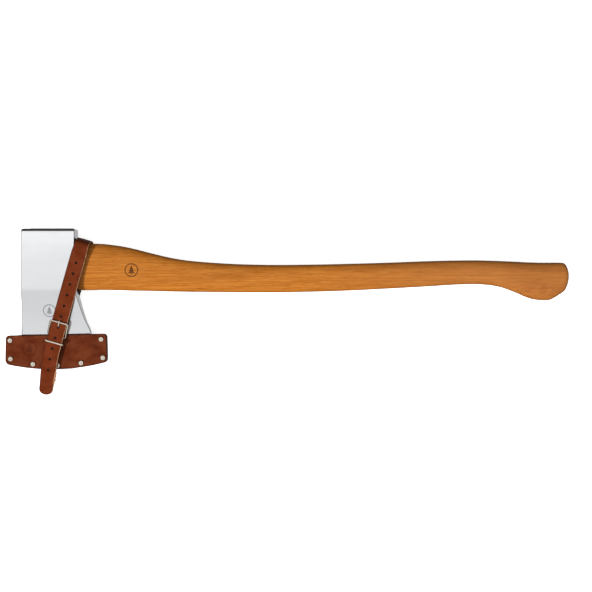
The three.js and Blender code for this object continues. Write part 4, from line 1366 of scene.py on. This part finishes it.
def prong_rings():
    """The prong's sections: an open eye round the heel bar, then the shank up through the strap."""
    sweep = -math.radians(262) * (1 - np.linspace(0, 1, 22))
    curl = np.stack([HEEL[0] - PRONG_EYE * np.sin(sweep), HEEL[1] + PRONG_EYE * np.cos(sweep)], axis=1)
    path = soften(np.concatenate([curl, PRONG_SHANK]), 2)
    normals = path_normals(path)
    turn = np.linspace(0, 2 * np.pi, 16, endpoint=False)
    left = np.linalg.norm(path - path[-1], axis=1)
    thin = 0.35 + 0.65 * np.sqrt(np.clip(left / 2.2, 0, 1))
    rings = []
    for (s, z), (ns, nz), share in zip(path, normals, thin):
        out = 0.9 * np.sin(turn) * share
        rings.append(on_strap(s + out * ns, 1.35 * np.cos(turn) * share, z + out * nz))
    return np.array(rings)


class AXE_OT_buckle(Operator):
    """Build the buckle's wire frame, its prong and the keeper"""

    bl_idname = "axe.buckle"
    bl_label = "Buckle and keeper"

    def execute(self, context):
        settings = context.scene.axe_settings
        line, up = loop_line(FRAME_HALF_WIDTH, HEEL, TOP_BAR, 3)
        mesh = bpy.data.meshes.new("buckle_wire")
        points = to_row(loop_points(line, up, HEEL))
        keep = [i for i in range(len(points)) if np.linalg.norm(points[i] - points[i - 1]) > 1e-6]
        points = points[keep]
        mesh.from_pydata(points.tolist(), [(i, (i + 1) % len(points)) for i in range(len(points))], [])
        wire = link("buckle_wire", mesh)
        run_tree(wire, wire_tree(), {
            "Wire radius": settings.wire_radius * MM, "Sides": 20, "Finish": finish("nickel"),
        }, 60)
        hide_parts("buckle_frame")
        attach(wire, "buckle")
        prong = make_piece("prong", *loft(prong_rings()), [finish("nickel")], sharp=60)
        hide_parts("buckle_prong")
        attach(prong, "prong")
        low = float(seat(KEEPER_S)) + CHAPE_THICK + GAP + KEEPER_HALF_THICK
        high = float(through(FRONT_LEG, KEEPER_S)) + LEATHER + 2 * GAP + KEEPER_HALF_THICK
        line, up = loop_line(KEEPER_HALF_WIDTH, (KEEPER_S, low), (KEEPER_S, high), 1.6, 6)
        half = KEEPER_HALF_THICK
        section = [
            (half, 0.6), (0.45, 1.1), (0, 1.3), (-half, 1.2), (-half, -1.2), (0, -1.3), (0.45, -1.1),
            (half, -0.6),
        ]
        rings = np.stack([loop_points(line, up, (KEEPER_S, low), o, n) for o, n in section], axis=1)
        keeper = make_piece("keeper", *loft(rings, closed=True), [finish("nickel")], sharp=50)
        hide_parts("keeper_loop")
        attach(keeper, "keeper")
        return {"FINISHED"}


# ---- Stage ----
CAMERA_PLACE = (361.9, -42.6, 1955)  # mm from the eye's middle, looking straight down
VIEW_WIDTH = 870  # mm across the picture at the middle plane
SENSOR = 36
FLOOR_HALF = 6.0  # metres
SUN_FROM = (-0.75, -0.55, 1.0)
SUN_ANGLE = math.radians(9)


def sky_shader(world):
    """Soft light from above and in front, with dark walls at the back that draw the metal's outlines."""
    world.use_nodes = True
    tree = world.node_tree
    tree.nodes.clear()
    direction = add_node(tree, "ShaderNodeTexCoord").outputs["Generated"]
    axes = add_node(tree, "ShaderNodeSeparateXYZ", {0: direction})
    lean = sum_of(tree, axes.outputs[2], sum_of(tree, axes.outputs[1], 0.35, "MULTIPLY"), "SUBTRACT")
    height = spread(tree, lean, 0.3, 0.9, 0.05, 0.98)
    front = spread(tree, axes.outputs[1], -0.5, 0.0, 0.86, 1.0)
    back_card = spread(tree, axes.outputs[1], 0.01, 0.1, 1.0, 1.18)
    light = sum_of(tree, height, sum_of(tree, front, back_card, "MULTIPLY"), "MULTIPLY")
    light = sum_of(tree, light, spread(tree, lean, -0.95, -0.65, 0.45, 0.0))  # the table's own glow
    studio = add_node(tree, "ShaderNodeBackground", {"Color": (1, 1, 1, 1), "Strength": light})
    white = add_node(tree, "ShaderNodeBackground", {"Color": (1, 1, 1, 1), "Strength": 1.0})
    seen = add_node(tree, "ShaderNodeLightPath").outputs["Is Camera Ray"]
    either = add_node(tree, "ShaderNodeMixShader", {0: seen, 1: studio.outputs[0], 2: white.outputs[0]})
    add_node(tree, "ShaderNodeOutputWorld", {0: either.outputs[0]})


class AXE_OT_stage(Operator):
    """Set up the white sweep, the studio light and the camera"""

    bl_idname = "axe.stage"
    bl_label = "Stage"

    def execute(self, context):
        settings = context.scene.axe_settings
        scene = context.scene
        scene.view_settings.view_transform = "Standard"
        camera = bpy.data.cameras.new("camera")
        camera.sensor_width = SENSOR
        camera.lens = SENSOR * CAMERA_PLACE[2] / VIEW_WIDTH
        camera.clip_end = 50
        viewer = link("camera", camera)
        viewer.location = to_row(CAMERA_PLACE)
        scene.camera = viewer
        mesh = bpy.data.meshes.new("floor")
        half = FLOOR_HALF
        corners = [(-half, -half), (half, -half), (half, half), (-half, half)]
        mesh.from_pydata([(x, y, CAD_BOX[0].z) for x, y in corners], [], [(0, 1, 2, 3)])
        mesh.materials.append(finish("floor"))
        floor = link("floor", mesh)
        floor.visible_diffuse = False
        floor.visible_glossy = False
        key = bpy.data.lights.new("key", "SUN")
        key.energy = settings.key_strength
        key.angle = SUN_ANGLE
        lamp = link("key", key)
        lamp.visible_glossy = False
        lamp.rotation_euler = Vector(SUN_FROM).to_track_quat("Z", "Y").to_euler()
        scene.world = scene.world or bpy.data.worlds.new("studio")
        sky_shader(scene.world)
        return {"FINISHED"}


BUILD_ORDER = [
    AXE_OT_stage, AXE_OT_head, AXE_OT_handle, AXE_OT_wedges, AXE_OT_guard, AXE_OT_rivets, AXE_OT_strap,
    AXE_OT_chape, AXE_OT_buckle,
]


class AXE_PT_panel(Panel):
    """Buttons for the axe's pieces, and the sizes and colours that they use"""

    bl_label = "Felling axe"
    bl_idname = "AXE_PT_panel"
    bl_space_type = "VIEW_3D"
    bl_region_type = "UI"
    bl_category = "Axe"

    def draw(self, context):
        layout = self.layout
        for operator in BUILD_ORDER:
            layout.operator(operator.bl_idname)
        for name in AxeSettings.__annotations__:
            layout.prop(context.scene.axe_settings, name)


CLASSES = [AxeSettings, *BUILD_ORDER, AXE_PT_panel]


def register():
    """Adds the classes and the scene's settings."""
    for item in CLASSES:
        bpy.utils.register_class(item)
    bpy.types.Scene.axe_settings = PointerProperty(type=AxeSettings)


def unregister():
    """Removes what register() added."""
    del bpy.types.Scene.axe_settings
    for item in reversed(CLASSES):
        bpy.utils.unregister_class(item)


def main():
    """Builds everything."""
    register()
    for operator in BUILD_ORDER:
        group, name = operator.bl_idname.split(".")
        getattr(getattr(bpy.ops, group), name)()


if __name__ == "__main__":
    main()
